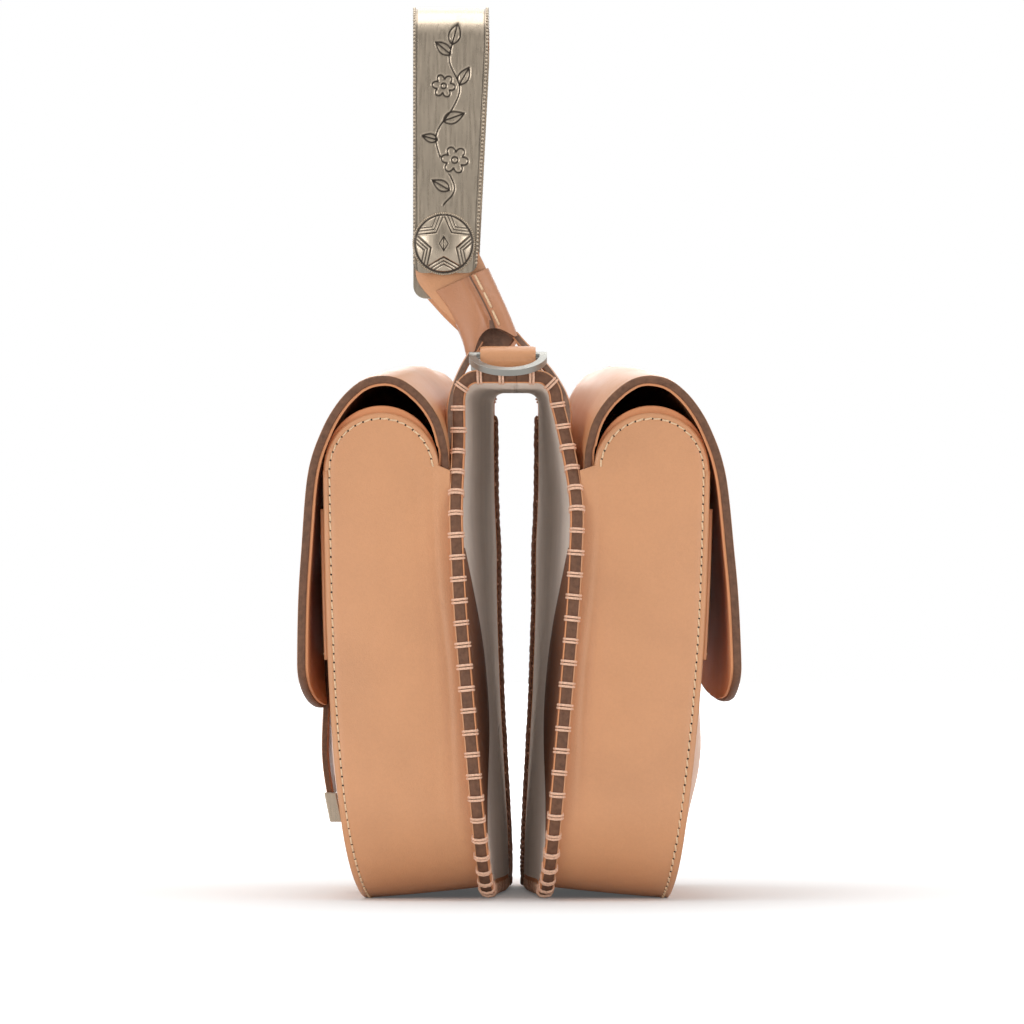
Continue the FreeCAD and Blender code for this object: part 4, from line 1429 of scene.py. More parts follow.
@dataclass
class Flap:
    """One flap: a single sheet from its seam on the skirt over the crown and down the front."""

    half: Half
    leather: float = 2.4
    lining: float = 1.8
    half_width: float = 97.0
    corner_run: float = 92.0
    corner_drop: float = 18.0
    apex_x: float = -48.4
    apex_z: float = 209.0
    bend_reach: float = 7.0
    root_x: float = -30.0
    root_draw: float = 4.6
    rear_flare: float = 2.6
    rear_lift: float = 7.5
    crown_full: float = 8.0
    brow_full: float = 2.6
    fall_full: float = 1.4
    far_sag: float = 10.2
    crease_z: float = 178.0
    profile: Line = (
        (-20.5, 164.0), (-20.6, 172.0), (-21.2, 180.6), (-23.4, 189.7), (-27.6, 197.2), (-33.5, 203.6),
        (-40.5, 208.0), (-48.4, 209.0), (-56.4, 206.4), (-64.4, 198.8), (-71.4, 186.8), (-76.8, 169.6),
        (-79.4, 138.8), (-80.6, 118.8), (-81.0, 96.0), (-80.7, 84.0), (-80.2, 76.2))
    columns: int = 73
    pieces: list[tuple[Piece, Finish]] = field(default_factory=list)

    def surface(self) -> tuple[np.ndarray, np.ndarray]:
        """Outer surface and its normals, mm.

        Returns:
            Points and normals by row and column.
        """
        line = smooth_line(self.profile, 600)
        lengths = lengths_along(line)
        low_z = line[-1, 1]
        straight = lengths[np.argmax((line[:, 1] < low_z + self.corner_drop) & (line[:, 0] < -75.0))]
        stations = list(np.linspace(0.0, straight, 74, endpoint=False))
        stations += list(straight + (lengths[-1] - straight) * np.sin(np.linspace(0.0, math.pi / 2, 24)))
        shares = np.sin(np.linspace(-1.0, 1.0, self.columns) * math.pi * 0.42) / math.sin(math.pi * 0.42)
        way = unit(np.gradient(line, axis=0))
        rows = []
        readings = read_along(np.array(stations), lengths, np.hstack([line, way]))
        for station, (x, z, dx, dz) in zip(stations, readings):
            down = max(0.0, (station - straight) / (lengths[-1] - straight))
            span = self.half_width - self.corner_run * (1 - math.sqrt(max(0.0, 1 - down ** 2)))
            if x > self.root_x:
                span -= self.root_draw * ease(clamp((188.0 - z) / 14.0))
            y = span * shares
            rise = self.rise(x, z, shares, span - np.abs(y))
            flare, lift = 0.0, np.zeros_like(y)
            if self.half is Half.REAR and x < self.apex_x:
                flare = self.rear_flare * clamp((175.0 - z) / 95.0)
                far = np.clip((y / self.half_width + 0.7) / 1.2, 0.0, 1.0)
                lift = self.rear_lift * clamp((150.0 - z) / 74.0) ** 1.5 * far
            rows.append(as_rows(x - flare + rise * dz, y, z - rise * dx + lift))
        grid = np.stack(rows)
        return grid, row_normals(grid, (0.0, 0.0, 1.0), 30)

    def rise(self, x: float, z: float, share: np.ndarray, margin: np.ndarray) -> np.ndarray:
        """How far the sheet stands out from its end profile: fuller mid width, creased by use.

        Args:
            x: X of the row.
            z: Z of the row.
            share: Places across the width, from -1 to 1.
            margin: Distances to the cut edge, mm.

        Returns:
            Distances out, mm.
        """
        upper = 1.0 if z > 165.0 else hump(z, 165.0, 40.0)
        crest = 1.0 if z > self.crease_z else 0.3
        full = self.crown_full * hump(x, -34.0, 13.0) * crest + self.brow_full * hump(x, -62.0, 14.0)
        body = full * upper * (1 - np.abs(share) ** 2.4)
        if x < -70.0:
            body += self.fall_full * (1 - share ** 2) * hump(z, 130.0, 35.0)
        crease = -0.9 * hump(x + 5.0 * share + 1.5 * np.sin(5 * share), -37.0, 1.9) * hump(share, -0.1, 0.5)
        crease += -0.6 * hump(x - 7.0 * share, -55.0, 2.4) * hump(share, 0.35, 0.4)
        crease += -0.5 * hump(x + 6.0 * share, -66.0, 2.2) * hump(share, -0.55, 0.3)
        sag = np.clip((share - 0.12) / 0.83, 0.0, 1.0)
        drop = clamp((z - 172.0) / 26.0)
        body -= self.far_sag * ease(sag) * hump(x, -48.0, 22.0) * ease(drop)
        tooled = -0.22 * hump(margin, 2.6, 0.55)
        return body + crease * (1.0 if z > self.crease_z else 0.0) + tooled

    def build(self) -> None:
        """Builds leather, lining and painted edge."""
        grid, normals = self.surface()
        wall = self.leather + self.lining
        name = self.half.prefix
        between = grid - normals * self.leather
        sheet = slab(name + "flap_leather", place(grid, self.half), place(between, self.half), TAN)
        backing = slab(name + "flap_backing", place(between, self.half),
                       place(grid - normals * wall, self.half), TAN_INNER)
        for piece in (sheet, backing):
            sharpen(piece, 50)
        path = place_path(edge_path(grid - normals * wall / 2, normals, 460), self.half)
        top = wall / 2 - 0.15
        low = 0.9 - wall / 2
        band = sweep(name + "flap_edge", path,
                     [(-0.4, low), (0.45, low + 0.05), (0.9, low + 0.6), (1.05, (low + top) / 2),
                      (0.9, top - 0.6), (0.45, top - 0.05), (-0.4, top), (-0.5, 0.0)], EDGE)
        self.pieces = [(sheet, TAN), (backing, TAN_INNER), (band, EDGE)]

    def dress(self) -> None:
        """Bakes the pieces' placing into their meshes, hides the imported parts that they stand for and hangs
        the snap stud on the flap.
        """
        start, end = place(np.array([[self.apex_x + self.bend_reach, 0.0, self.apex_z],
                                     [self.apex_x - self.bend_reach, 0.0, self.apex_z]]), self.half)
        for piece, finish in self.pieces:
            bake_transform(piece)
        name = self.half.prefix
        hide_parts(name + "flap_crown", name + "flap")
        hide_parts(name + "crown_lining", name + "flap_lining")
        stud = rounded_copy(name + "snap_stud", ZIP_METAL, 0.4)
        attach(stud, self.half.flap)


def ribbon(name: str, left: np.ndarray, right: np.ndarray, way: np.ndarray, wall: float, columns: int = 13,
           finish: Optional[Finish] = None) -> Piece:
    """A strap of even thickness between two edge lines, with raw cut edges.

    Args:
        name: Name of the piece.
        left: Points of one edge, mm.
        right: Points of the other edge.
        way: Way out of the strap's face at each point.
        wall: Thickness, mm.
        columns: Points across the strap.
        finish: Finish of the cut edges, raw leather where none is given.

    Returns:
        The strap.
    """
    shares = np.linspace(0.0, 1.0, columns)
    grid = left[:, None, :] + (right - left)[:, None, :] * shares[None, :, None]
    soft = 0.16 * wall * np.abs(2 * shares - 1) ** 15
    half = way[:, None, :] * (wall / 2 - soft)[None, :, None]
    piece = slab(name, (grid + half) * MM, (grid - half) * MM, TAN)
    piece.data.materials.append((finish or RAW_EDGE).material())
    faces = 2 * (len(left) - 1) * (columns - 1)
    flags = np.zeros(len(piece.data.polygons), np.int32)
    flags[faces:] = 1
    piece.data.polygons.foreach_set("material_index", flags)
    sharpen(piece, 50)
    return piece


@dataclass
class ClosureStrap:
    """Short strap that hangs below the front flap, with a metal tip."""

    width: float = 24.0
    wall: float = 3.0
    foot_lean: float = 3.2
    fold_z: float = 58.0
    lean_run: float = 27.0
    rows: int = 40

    def build(self) -> None:
        """Builds the strap as a soft sheet that swells a little where it is folded."""
        low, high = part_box("front_closure_strap")
        middle_x = (low[0] + high[0]) / 2 / MM
        middle_y = (low[1] + high[1]) / 2 / MM
        heights = np.linspace(low[2] / MM, high[2] / MM, self.rows)
        lean = np.clip((self.fold_z - heights) / self.lean_run, 0.0, 1.0) ** 2
        swell = hump(heights, 60.0, 16.0) - self.foot_lean * lean
        edges = []
        for side in (-1.0, 1.0):
            y = np.full(self.rows, middle_y + side * self.width / 2)
            edges.append(as_rows(middle_x - swell + (y - middle_y) * math.tan(SPLAY), y, heights))
        way = np.tile([-1.0, 0.0, 0.0], (self.rows, 1))
        self.strap = ribbon("front_strap_leather", edges[0], edges[1], way, self.wall, finish=EDGE)
        self.tip = rounded_copy("front_strap_tip", SILVER, 0.6)
        points = np.array([v.co[:] for v in self.tip.data.vertices])
        below = (self.fold_z - points[:, 2] / MM) / self.lean_run
        points[:, 0] += self.foot_lean * MM * np.clip(below, 0.0, 2.0) ** 2
        self.tip.data.vertices.foreach_set("co", points.astype(np.float32).ravel())

    def dress(self) -> None:
        """Hangs strap and tip on the front flap."""
        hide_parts("front_closure_strap")
        for piece, finish in ((self.strap, TAN), (self.tip, SILVER)):
            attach(piece, Half.FRONT.flap)


# The handle


def line_distance(points: np.ndarray, line: np.ndarray) -> np.ndarray:
    """Distance from points to a drawn line, in the plane.

    Args:
        points: Points of two numbers.
        line: Points of the line.

    Returns:
        Shortest distances.
    """
    best = np.full(len(points), 1e9)
    for start, end in zip(line[:-1], line[1:]):
        run = end - start
        share = np.clip(((points - start) @ run) / max(run @ run, 1e-9), 0.0, 1.0)
        best = np.minimum(best, np.linalg.norm(points - start - share[:, None] * run, axis=1))
    return best


@dataclass(frozen=True)
class VineEngraving:
    """A climbing vine with round-petalled blossoms and almond leaves, as drawn lines."""

    stem: Line = (
        (12.0, 277.0), (16.5, 284.0), (10.5, 297.0), (9.5, 306.0), (16.0, 316.0), (18.5, 324.0),
        (14.5, 334.0), (15.5, 341.0))
    blossoms: Sequence[Triple] = ((16.6, 295.0, 5.4), (12.2, 324.5, 4.6))
    leaves: Sequence[tuple[float, float, float, float]] = (
        (14.5, 283.0, 150.0, 8.0), (9.8, 303.0, 165.0, 6.5), (12.0, 310.5, 20.0, 9.0),
        (18.4, 325.0, 60.0, 8.0), (15.0, 337.0, 140.0, 8.0), (15.5, 341.0, 75.0, 9.0))
    line_width: float = 0.42

    def lines(self) -> list[np.ndarray]:
        """Every drawn line, in mm across and up the leg.

        Returns:
            Lines of points: stem, blossoms, leaves.
        """
        drawn = [smooth_line(self.stem, 60)]
        for across, up, size in self.blossoms:
            turn = np.linspace(0.0, 2 * math.pi, 73)
            reach = size * (0.42 + 0.58 * np.abs(np.cos(3 * turn + 0.4)) ** 0.55)
            drawn.append(as_rows(across + reach * np.cos(turn), up + reach * np.sin(turn)))
            heart = 0.24 * size
            drawn.append(as_rows(across + heart * np.cos(turn[::6]), up + heart * np.sin(turn[::6])))
        for across, up, angle, length in self.leaves:
            way = np.array([math.cos(math.radians(angle)), math.sin(math.radians(angle))])
            side = np.array([-way[1], way[0]])
            run = np.linspace(0.0, 1.0, 13)[:, None]
            for bow in (0.26, -0.26, 0.0):
                bent = run * way + bow * np.sin(math.pi * run ** 0.8) * side
                drawn.append(np.array([across, up]) + length * bent)
        return drawn

    def depth(self, across: np.ndarray, up: np.ndarray) -> np.ndarray:
        """Share of the full engraved depth at points of the leg.

        Args:
            across: Distances from the leg's left edge, mm.
            up: Heights along the leg, mm.

        Returns:
            Shares from zero to one.
        """
        points = as_rows(across, up)
        blossoms = np.zeros(len(points), bool)
        for x, z, size in self.blossoms:
            blossoms |= np.hypot(across - x, up - z) < size * 1.08
        cut = np.zeros(len(points))
        for index, line in enumerate(self.lines()):
            share = np.exp(-(line_distance(points, line) / self.line_width) ** 4)
            petal = 0 < index <= 2 * len(self.blossoms)
            cut = np.maximum(cut, share if petal else np.where(blossoms, 0.0, share))
        return cut


@dataclass
class Handle:
    """Rigid silver handle: engraved flat band, star conchos, back plates and screws."""

    left_x: float = -41.2
    top_right_x: float = -11.2
    foot_right_x: float = -15.8
    foot_z: float = 250.0
    top_z: float = 356.0
    outer_y: float = 84.4
    bend: float = 14.0
    wall: float = 2.0
    corner: float = 4.0
    engraved: float = 0.28
    concho_x: float = -28.95
    concho_z: float = 261.6
    concho_radius: float = 12.5
    concho_height: float = 4.0
    bead_pitch: float = 1.5
    plate_corner: float = 5.0
    far_plate_cut: float = 4.0
    columns: int = 80
    rim_beads: int = 92
    star_tip: float = 0.93
    star_notch: float = 0.43
    engraving: VineEngraving = VineEngraving()
    pieces: list[Piece] = field(default_factory=list)

    def stations(self) -> np.ndarray:
        """Outer line of the band from the near foot over the top to the far foot: y, z, way out.

        Returns:
            Rows of four numbers.
        """
        rows = []
        low = self.foot_z + self.corner * (1 - np.cos(np.linspace(0.0, math.pi / 2, 8, endpoint=False)))
        high = np.linspace(self.foot_z + self.corner, self.top_z - self.bend, 260, endpoint=False)
        for z in list(low) + list(high):
            rows.append((-self.outer_y, z, -1.0, 0.0))
        for turn in np.linspace(0.0, math.pi / 2, 36, endpoint=False):
            rows.append((-self.outer_y + self.bend * (1 - math.cos(turn)),
                         self.top_z - self.bend + self.bend * math.sin(turn),
                         -math.cos(turn), math.sin(turn)))
        for y in np.linspace(self.bend - self.outer_y, 0.0, 40, endpoint=False):
            rows.append((y, self.top_z, 0.0, 1.0))
        far = [(-y, z, -ny, nz) for y, z, ny, nz in reversed(rows)]
        return np.array(rows + [(0.0, self.top_z, 0.0, 1.0)] + far)

    def right_x(self, z: np.ndarray) -> np.ndarray:
        """X of the band's slanted edge at a height."""
        share = np.clip((z - self.foot_z) / (self.top_z - self.bend - self.foot_z), 0.0, 1.0)
        return self.foot_right_x + (self.top_right_x - self.foot_right_x) * share

    def band(self) -> Piece:
        """The band with its vine cut in and darkened.

        Returns:
            The band.
        """
        rows = self.stations()
        shares = np.linspace(0.0, 1.0, self.columns)
        low = np.clip((self.foot_z + self.corner - rows[:, 1]) / self.corner, 0.0, 1.0)
        trim = self.corner * (1 - np.sqrt(1 - low ** 2))
        left = self.left_x + trim
        right = self.right_x(rows[:, 1]) - trim
        x = left[:, None] + (right - left)[:, None] * shares[None, :]
        z = np.repeat(rows[:, 1:2], self.columns, axis=1)
        arc = lengths_along(rows[:, :2])
        up = self.foot_z + np.minimum(arc, arc[-1] - arc)
        up = np.repeat(up[:, None], self.columns, axis=1)
        cut = self.engraving.depth((x - self.left_x).ravel(), up.ravel()).reshape(x.shape)
        margin = np.minimum(x - self.left_x, self.right_x(z) - x)
        groove = np.exp(-((margin - 1.5) / 0.28) ** 2)
        rim = 0.35 * np.clip(1 - margin / 0.5, 0.0, 1.0) ** 2
        wave = 0.10 * np.sin(up / 13.0 + x / 9.0) + 0.07 * np.sin(up / 5.1 - x / 7.0)
        sink = self.engraved * np.maximum(cut, 0.55 * groove) + rim + wave
        outer = np.stack([x, rows[:, :1] - sink * rows[:, 2:3], z - sink * rows[:, 3:4]], axis=2)
        back = self.wall - 0.1
        behind = np.repeat(rows[:, :1] - back * rows[:, 2:3], self.columns, axis=1)
        inner = np.stack([x, behind, z - back * rows[:, 3:4]], axis=2)
        piece = slab("handle_band_engraved", outer * MM, inner * MM, SILVER)
        sharpen(piece, 60)
        dark = np.zeros(len(piece.data.vertices), np.float32)
        under = np.clip(1.15 - margin / 1.1, 0.0, 1.0)
        dark[:x.size] = np.maximum(np.maximum(cut, 0.8 * groove), 0.9 * under).ravel()
        piece.data.attributes.new("patina", "FLOAT", "POINT").data.foreach_set("value", dark)
        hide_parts("handle_band")
        return piece

    def milgrain(self, repeats: Repeats) -> Piece:
        """Fine beads along both edges of the band.

        Args:
            repeats: Tree that lays the beads.

        Returns:
            The beads as one piece.
        """
        rows = self.stations()[8:-8]
        points, out, up = [], [], []
        for side in (-1.0, 1.0):
            x = np.full(len(rows), self.left_x + 0.5) if side < 0 else self.right_x(rows[:, 1]) - 0.5
            line = as_rows(x, rows[:, 0], rows[:, 1])
            ways = as_rows(np.zeros(len(rows)), rows[:, 2], rows[:, 3])
            path = Path(line * MM, np.tile([side, 0.0, 0.0], (len(rows), 1)),
                        ways).spaced(self.bead_pitch * MM)
            points.append(path.points)
            out.append(path.out)
            up.append(path.up)
        path = Path(np.vstack(points), np.vstack(out), np.vstack(up))
        return repeats.lay("handle_milgrain", path, bead_shape(0.62, 0.85), SILVER, 0.10, 9)

    def star_distance(self, x: np.ndarray, z: np.ndarray) -> np.ndarray:
        """Signed distance to the concho's star, positive outside.

        Args:
            x: Distances across from the middle, mm.
            z: Distances up from the middle, mm.

        Returns:
            Distances, mm.
        """
        turn = np.radians(90 + 36 * np.arange(11))
        reach = np.where(np.arange(11) % 2 == 0, self.star_tip, self.star_notch) * self.concho_radius
        corners = as_rows(reach * np.cos(turn), reach * np.sin(turn))
        far = line_distance(as_rows(x, z), corners)
        angle = (np.degrees(np.arctan2(z, x)) - 90.0) % 72.0
        angle = np.radians(np.minimum(angle, 72.0 - angle))
        tip = np.array([self.concho_radius * self.star_tip, 0.0])
        corner = math.radians(36)
        notch = self.concho_radius * self.star_notch * np.array([math.cos(corner), math.sin(corner)])
        run = notch - tip
        radius = np.hypot(x, z)
        side = run[0] * (radius * np.sin(angle)) - run[1] * (radius * np.cos(angle) - tip[0])
        return np.where(side < 0, far, -far) * np.sign(run[1])

    def concho(self, end: End, repeats: Repeats) -> list[Piece]:
        """Domed concho with a cut star, and its beaded rim.

        Args:
            end: End of the bag.
            repeats: Tree that lays the beads.

        Returns:
            Dome and beads.
        """
        rings = np.concatenate([np.linspace(0.02, 0.97, 62), [1.0]]) * (self.concho_radius - 0.5)
        turns = np.linspace(0.0, 2 * math.pi, 200, endpoint=False)
        x = (rings[:, None] * np.cos(turns)[None, :])
        z = (rings[:, None] * np.sin(turns)[None, :])
        star = self.star_distance(x.ravel(), z.ravel()).reshape(x.shape)
        cuts = ((0.0, 0.30), (1.25, 0.26), (2.4, 0.26))
        lines = sum(np.exp(-((star - away) / wide) ** 4) for away, wide in cuts)
        lozenge = np.abs(x) / 1.75 + np.abs(z) / 2.9
        lines += np.exp(-((lozenge - 1.0) / 0.17) ** 4) + np.exp(-(x / 0.22) ** 4) * (lozenge < 1.0)
        edge = np.exp(-((rings[:, None] - self.concho_radius + 1.1) / 0.4) ** 4) * np.ones_like(x)
        cut = np.clip(np.maximum(lines, edge), 0.0, 1.0)
        share = rings[:, None] / self.concho_radius
        rise = self.concho_height * (0.22 + 0.74 * (1 - share ** 2.3)) + 0.28 * np.clip(-star / 0.6, 0.0, 1.0)
        rise = np.minimum(rise, self.concho_height) - 0.32 * cut
        low = np.zeros((1, len(turns)))
        xs = np.vstack([x, x[-1:]]) + self.concho_x
        zs = np.vstack([z, z[-1:]]) + self.concho_z
        ys = end.value * (self.outer_y + np.vstack([rise, low]))
        grid = np.stack([xs, ys, zs], axis=2)
        count, around = grid.shape[:2]
        crest = end.value * (self.outer_y + self.concho_height - 0.05)
        points = np.vstack([grid.reshape(-1, 3), [[self.concho_x, crest, self.concho_z]],
                            [[self.concho_x, end.value * self.outer_y, self.concho_z]]])
        faces = grid_faces(count, around, ring=True)
        crown = count * around
        faces += [(crown, (s + 1) % around, s) for s in range(around)]
        base = (count - 1) * around
        faces += [(crown + 1, base + s, base + (s + 1) % around) for s in range(around)]
        dome = new_piece("concho_dome" + end.suffix, points * MM, faces, SILVER)
        dark = np.concatenate([cut.ravel(), np.zeros(around + 2)]).astype(np.float32)
        dome.data.attributes.new("patina", "FLOAT", "POINT").data.foreach_set("value", dark)
        sharpen(dome, 70)
        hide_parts("concho" + end.suffix)
        ring = np.linspace(0.0, 2 * math.pi, self.rim_beads, endpoint=False)
        ways = as_rows(np.cos(ring), np.zeros_like(ring), np.sin(ring))
        middle = np.array([self.concho_x, end.value * (self.outer_y + 0.55), self.concho_z])
        at = ways * (self.concho_radius - 0.35) + middle
        path = Path(at * MM, ways, np.tile([0.0, end.value, 0.0], (self.rim_beads, 1)))
        beads = repeats.lay("concho_beads" + end.suffix, path, bead_shape(0.48, 1.0), SILVER, 0.05, 4)
        return [dome, beads]

    def back_plate(self, end: End) -> Piece:
        """Plate behind the leather, round-cornered at its foot; the far one is cut shorter.

        Args:
            end: End of the bag.

        Returns:
            The plate.
        """
        piece = rounded_copy("back_plate" + end.suffix, SILVER, 0.0)
        low = min(v.co.z for v in piece.data.vertices)
        work = bmesh.new()
        work.from_mesh(piece.data)
        corners = [e for e in work.edges if abs(e.verts[0].co.y - e.verts[1].co.y) > 0.001
                   and max(v.co.z for v in e.verts) < low + 0.001]
        bmesh.ops.bevel(work, geom=corners, offset=self.plate_corner * MM, segments=7, profile=0.5,
                        affect="EDGES")
        if end is End.FAR:
            for vert in work.verts:
                vert.co.z += self.far_plate_cut * MM * max(0.0, 1 - (vert.co.z - low) / 0.02)
        work.to_mesh(piece.data)
        work.free()
        sharpen(piece, 40)
        return piece

    def build(self, repeats: Repeats) -> None:
        """Builds band, beads, conchos, back plates and screws.

        Args:
            repeats: Tree that lays the beads.
        """
        self.pieces = [self.band(), self.milgrain(repeats), rounded_copy("concho_screws", NICKEL, 0.3)]
        for end in End:
            self.pieces += self.concho(end, repeats)
            self.pieces.append(self.back_plate(end))

    def dress(self) -> None:
        """Hangs every piece on the handle's body."""
        for piece in self.pieces:
            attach(piece, "handle")


# Leather between handle and yoke


@dataclass
class HandleTab:
    """Leather tab under a handle foot, wrapped by a stitched sleeve that is open at its lower end."""

    end: End
    middle_y: float = 78.0
    tab_wall: float = 5.0
    sleeve_depth: float = 4.3
    sleeve_wall: float = 1.5
    tab_left: Line = (
        (-39.4, 270.0), (-40.0, 257.0), (-39.6, 247.4), (-33.0, 238.8), (-26.0, 231.6), (-19.0, 225.5))
    tab_right: Line = (
        (-19.0, 270.0), (-16.4, 261.0), (-12.6, 253.0), (-8.8, 243.5), (-5.5, 236.0), (-3.5, 230.0))
    sleeve_left: Line = ((-32.6, 242.6), (-27.4, 235.4), (-23.6, 228.6), (-21.4, 222.4), (-20.2, 217.4))
    sleeve_right: Line = ((-11.2, 252.2), (-7.6, 244.4), (-4.4, 237.4), (-1.6, 230.8), (0.6, 225.2))
    mouth_hollow: float = 6.5
    tongue_drop: float = 3.4
    square: float = 0.55
    seam_share: float = 0.34
    tab_rows: int = 40
    rows: int = 34
    face_columns: int = 66
    back_columns: int = 30
    stitch_length: float = 6.6
    pieces: list[tuple[Piece, Finish]] = field(default_factory=list)

    def sleeve_point(self, low: np.ndarray, high: np.ndarray, turn: float, inset: float,
                     run: float) -> np.ndarray:
        """Point of the sleeve's wall.

        Args:
            low: Left point of the section, across and up.
            high: Right point of the section.
            turn: Angle round the section.
            inset: Depth below the outer face, mm.
            run: Share of the way down the sleeve.

        Returns:
            The point, mm.
        """
        wide = np.linalg.norm(high - low) / 2 - inset
        deep = self.sleeve_depth - inset
        way = (high - low) / np.linalg.norm(high - low)
        down = np.array([way[1], -way[0]])
        lateral = math.copysign(abs(math.cos(turn)) ** self.square, math.cos(turn))
        facing = math.copysign(abs(math.sin(turn)) ** self.square, math.sin(turn))
        front = max(0.0, facing)
        lift = 0.0
        if inset == 0.0:
            step = 1 / (1 + math.exp(-(lateral - self.seam_share) / 0.012))
            lift = 1.2 * front * step - 1.3 * front * hump(lateral, self.seam_share - 0.12, 0.16)
            lift += 0.6 * front * math.sin(3.0 * lateral + 4.0 * run) * (1 - lateral ** 2)
        hollow = self.mouth_hollow * front * max(0.0, (run - 0.55) / 0.45) ** 1.5
        hollow *= max(0.0, 1 - (lateral - 0.1) ** 2 / 0.6)
        tongue = self.tongue_drop * max(0.0, -facing) * max(0.0, (run - 0.7) / 0.3)
        tongue *= max(0.0, 1 - (lateral - 0.35) ** 2 / 0.4)
        at = (low + high) / 2 + way * lateral * wide + down * (tongue - hollow)
        return np.array([at[0], self.end.value * (self.middle_y + facing * deep + lift), at[1]])

    def sleeve(self) -> Piece:
        """The wrapped sleeve, a bent tube with a lapped seam on its face.

        Returns:
            The sleeve.
        """
        left = smooth_line(self.sleeve_left, self.rows)
        right = smooth_line(self.sleeve_right, self.rows)
        across = np.linspace(1.0, -1.0, self.face_columns, endpoint=False)
        turns = np.concatenate([np.arccos(np.sign(across) * np.abs(across) ** (1 / self.square)),
                                np.linspace(math.pi, 2 * math.pi, self.back_columns, endpoint=False)])
        last, around = self.rows - 1, len(turns)
        layers = []
        for inset in (0.0, self.sleeve_wall):
            layers.append([[self.sleeve_point(low, high, turn, inset, step / last) for turn in turns]
                           for step, (low, high) in enumerate(zip(left, right))])
        outer, inner = np.array(layers[0]), np.array(layers[1])
        count = self.rows * around
        faces = grid_faces(self.rows, around, ring=True)
        faces += [tuple(reversed(f)) for f in grid_faces(self.rows, around, count, ring=True)]
        walls = len(faces) // 2
        for first in (0, last * around):
            for s in range(around):
                a, b = first + s, first + (s + 1) % around
                faces.append((a, b, b + count, a + count))
        piece = new_piece("tab_sleeve" + self.end.suffix,
                          np.vstack([outer.reshape(-1, 3), inner.reshape(-1, 3)]) * MM, faces, TAN_DEEP)
        piece.data.materials.append(RAW_EDGE.material())
        flags = np.ones(len(piece.data.polygons), np.int32)
        flags[:walls] = 0
        lap = int(round((1.0 - self.seam_share) * self.face_columns / 2))
        for step in range(last):
            flags[step * around + lap:step * around + lap + 2] = 1
        piece.data.polygons.foreach_set("material_index", flags)
        sharpen(piece, 55)
        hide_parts("tab_keeper" + self.end.suffix)
        return piece

    def stitches(self, repeats: Repeats) -> Piece:
        """Three long stitches that close the sleeve beside its seam.

        Args:
            repeats: Tree that lays the stitches.

        Returns:
            The stitches as one piece.
        """
        left = smooth_line(self.sleeve_left, self.rows)
        right = smooth_line(self.sleeve_right, self.rows)
        turn = math.acos((self.seam_share + 0.13) ** (1 / self.square))
        line = np.array([self.sleeve_point(low, high, turn, 0.0, step / (self.rows - 1))
                         for step, (low, high) in enumerate(zip(left, right))])
        line[:, 1] += self.end.value * 0.15
        count = len(line)
        path = Path(line * MM, np.tile([0.82, 0.0, 0.57], (count, 1)),
                    np.tile([0.0, self.end.value, 0.0], (count, 1)))
        steps = Path(path.points[1:-4], path.out[1:-4], path.up[1:-4]).spaced(7.2 * MM, 3.0 * MM)
        out = unit(np.cross(steps.up, unit(np.gradient(steps.points, axis=0))))
        return repeats.lay("tab_stitches" + self.end.suffix, Path(steps.points, out, steps.up),
                           stitch_shape(self.stitch_length, 0.5), STITCH, 0.04, 6)

    def build(self, repeats: Repeats) -> None:
        """Builds tab, sleeve and stitches.

        Args:
            repeats: Tree that lays the stitches.
        """
        edges = []
        for guide in (self.tab_left, self.tab_right):
            line = smooth_line(guide, self.tab_rows)
            side = np.full(self.tab_rows, self.end.value * self.middle_y)
            edges.append(as_rows(line[:, 0], side, line[:, 1]))
        way = np.tile([0.0, 1.0, 0.0], (self.tab_rows, 1))
        tab = ribbon("tab_leather" + self.end.suffix, edges[0], edges[1], way, self.tab_wall)
        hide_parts("handle_tab" + self.end.suffix)
        self.pieces = [(tab, TAN), (self.sleeve(), TAN_DEEP), (self.stitches(repeats), STITCH)]

    def dress(self) -> None:
        """Hangs the pieces on the tabs' body."""
        for piece, finish in self.pieces:
            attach(piece, "handle_tabs")


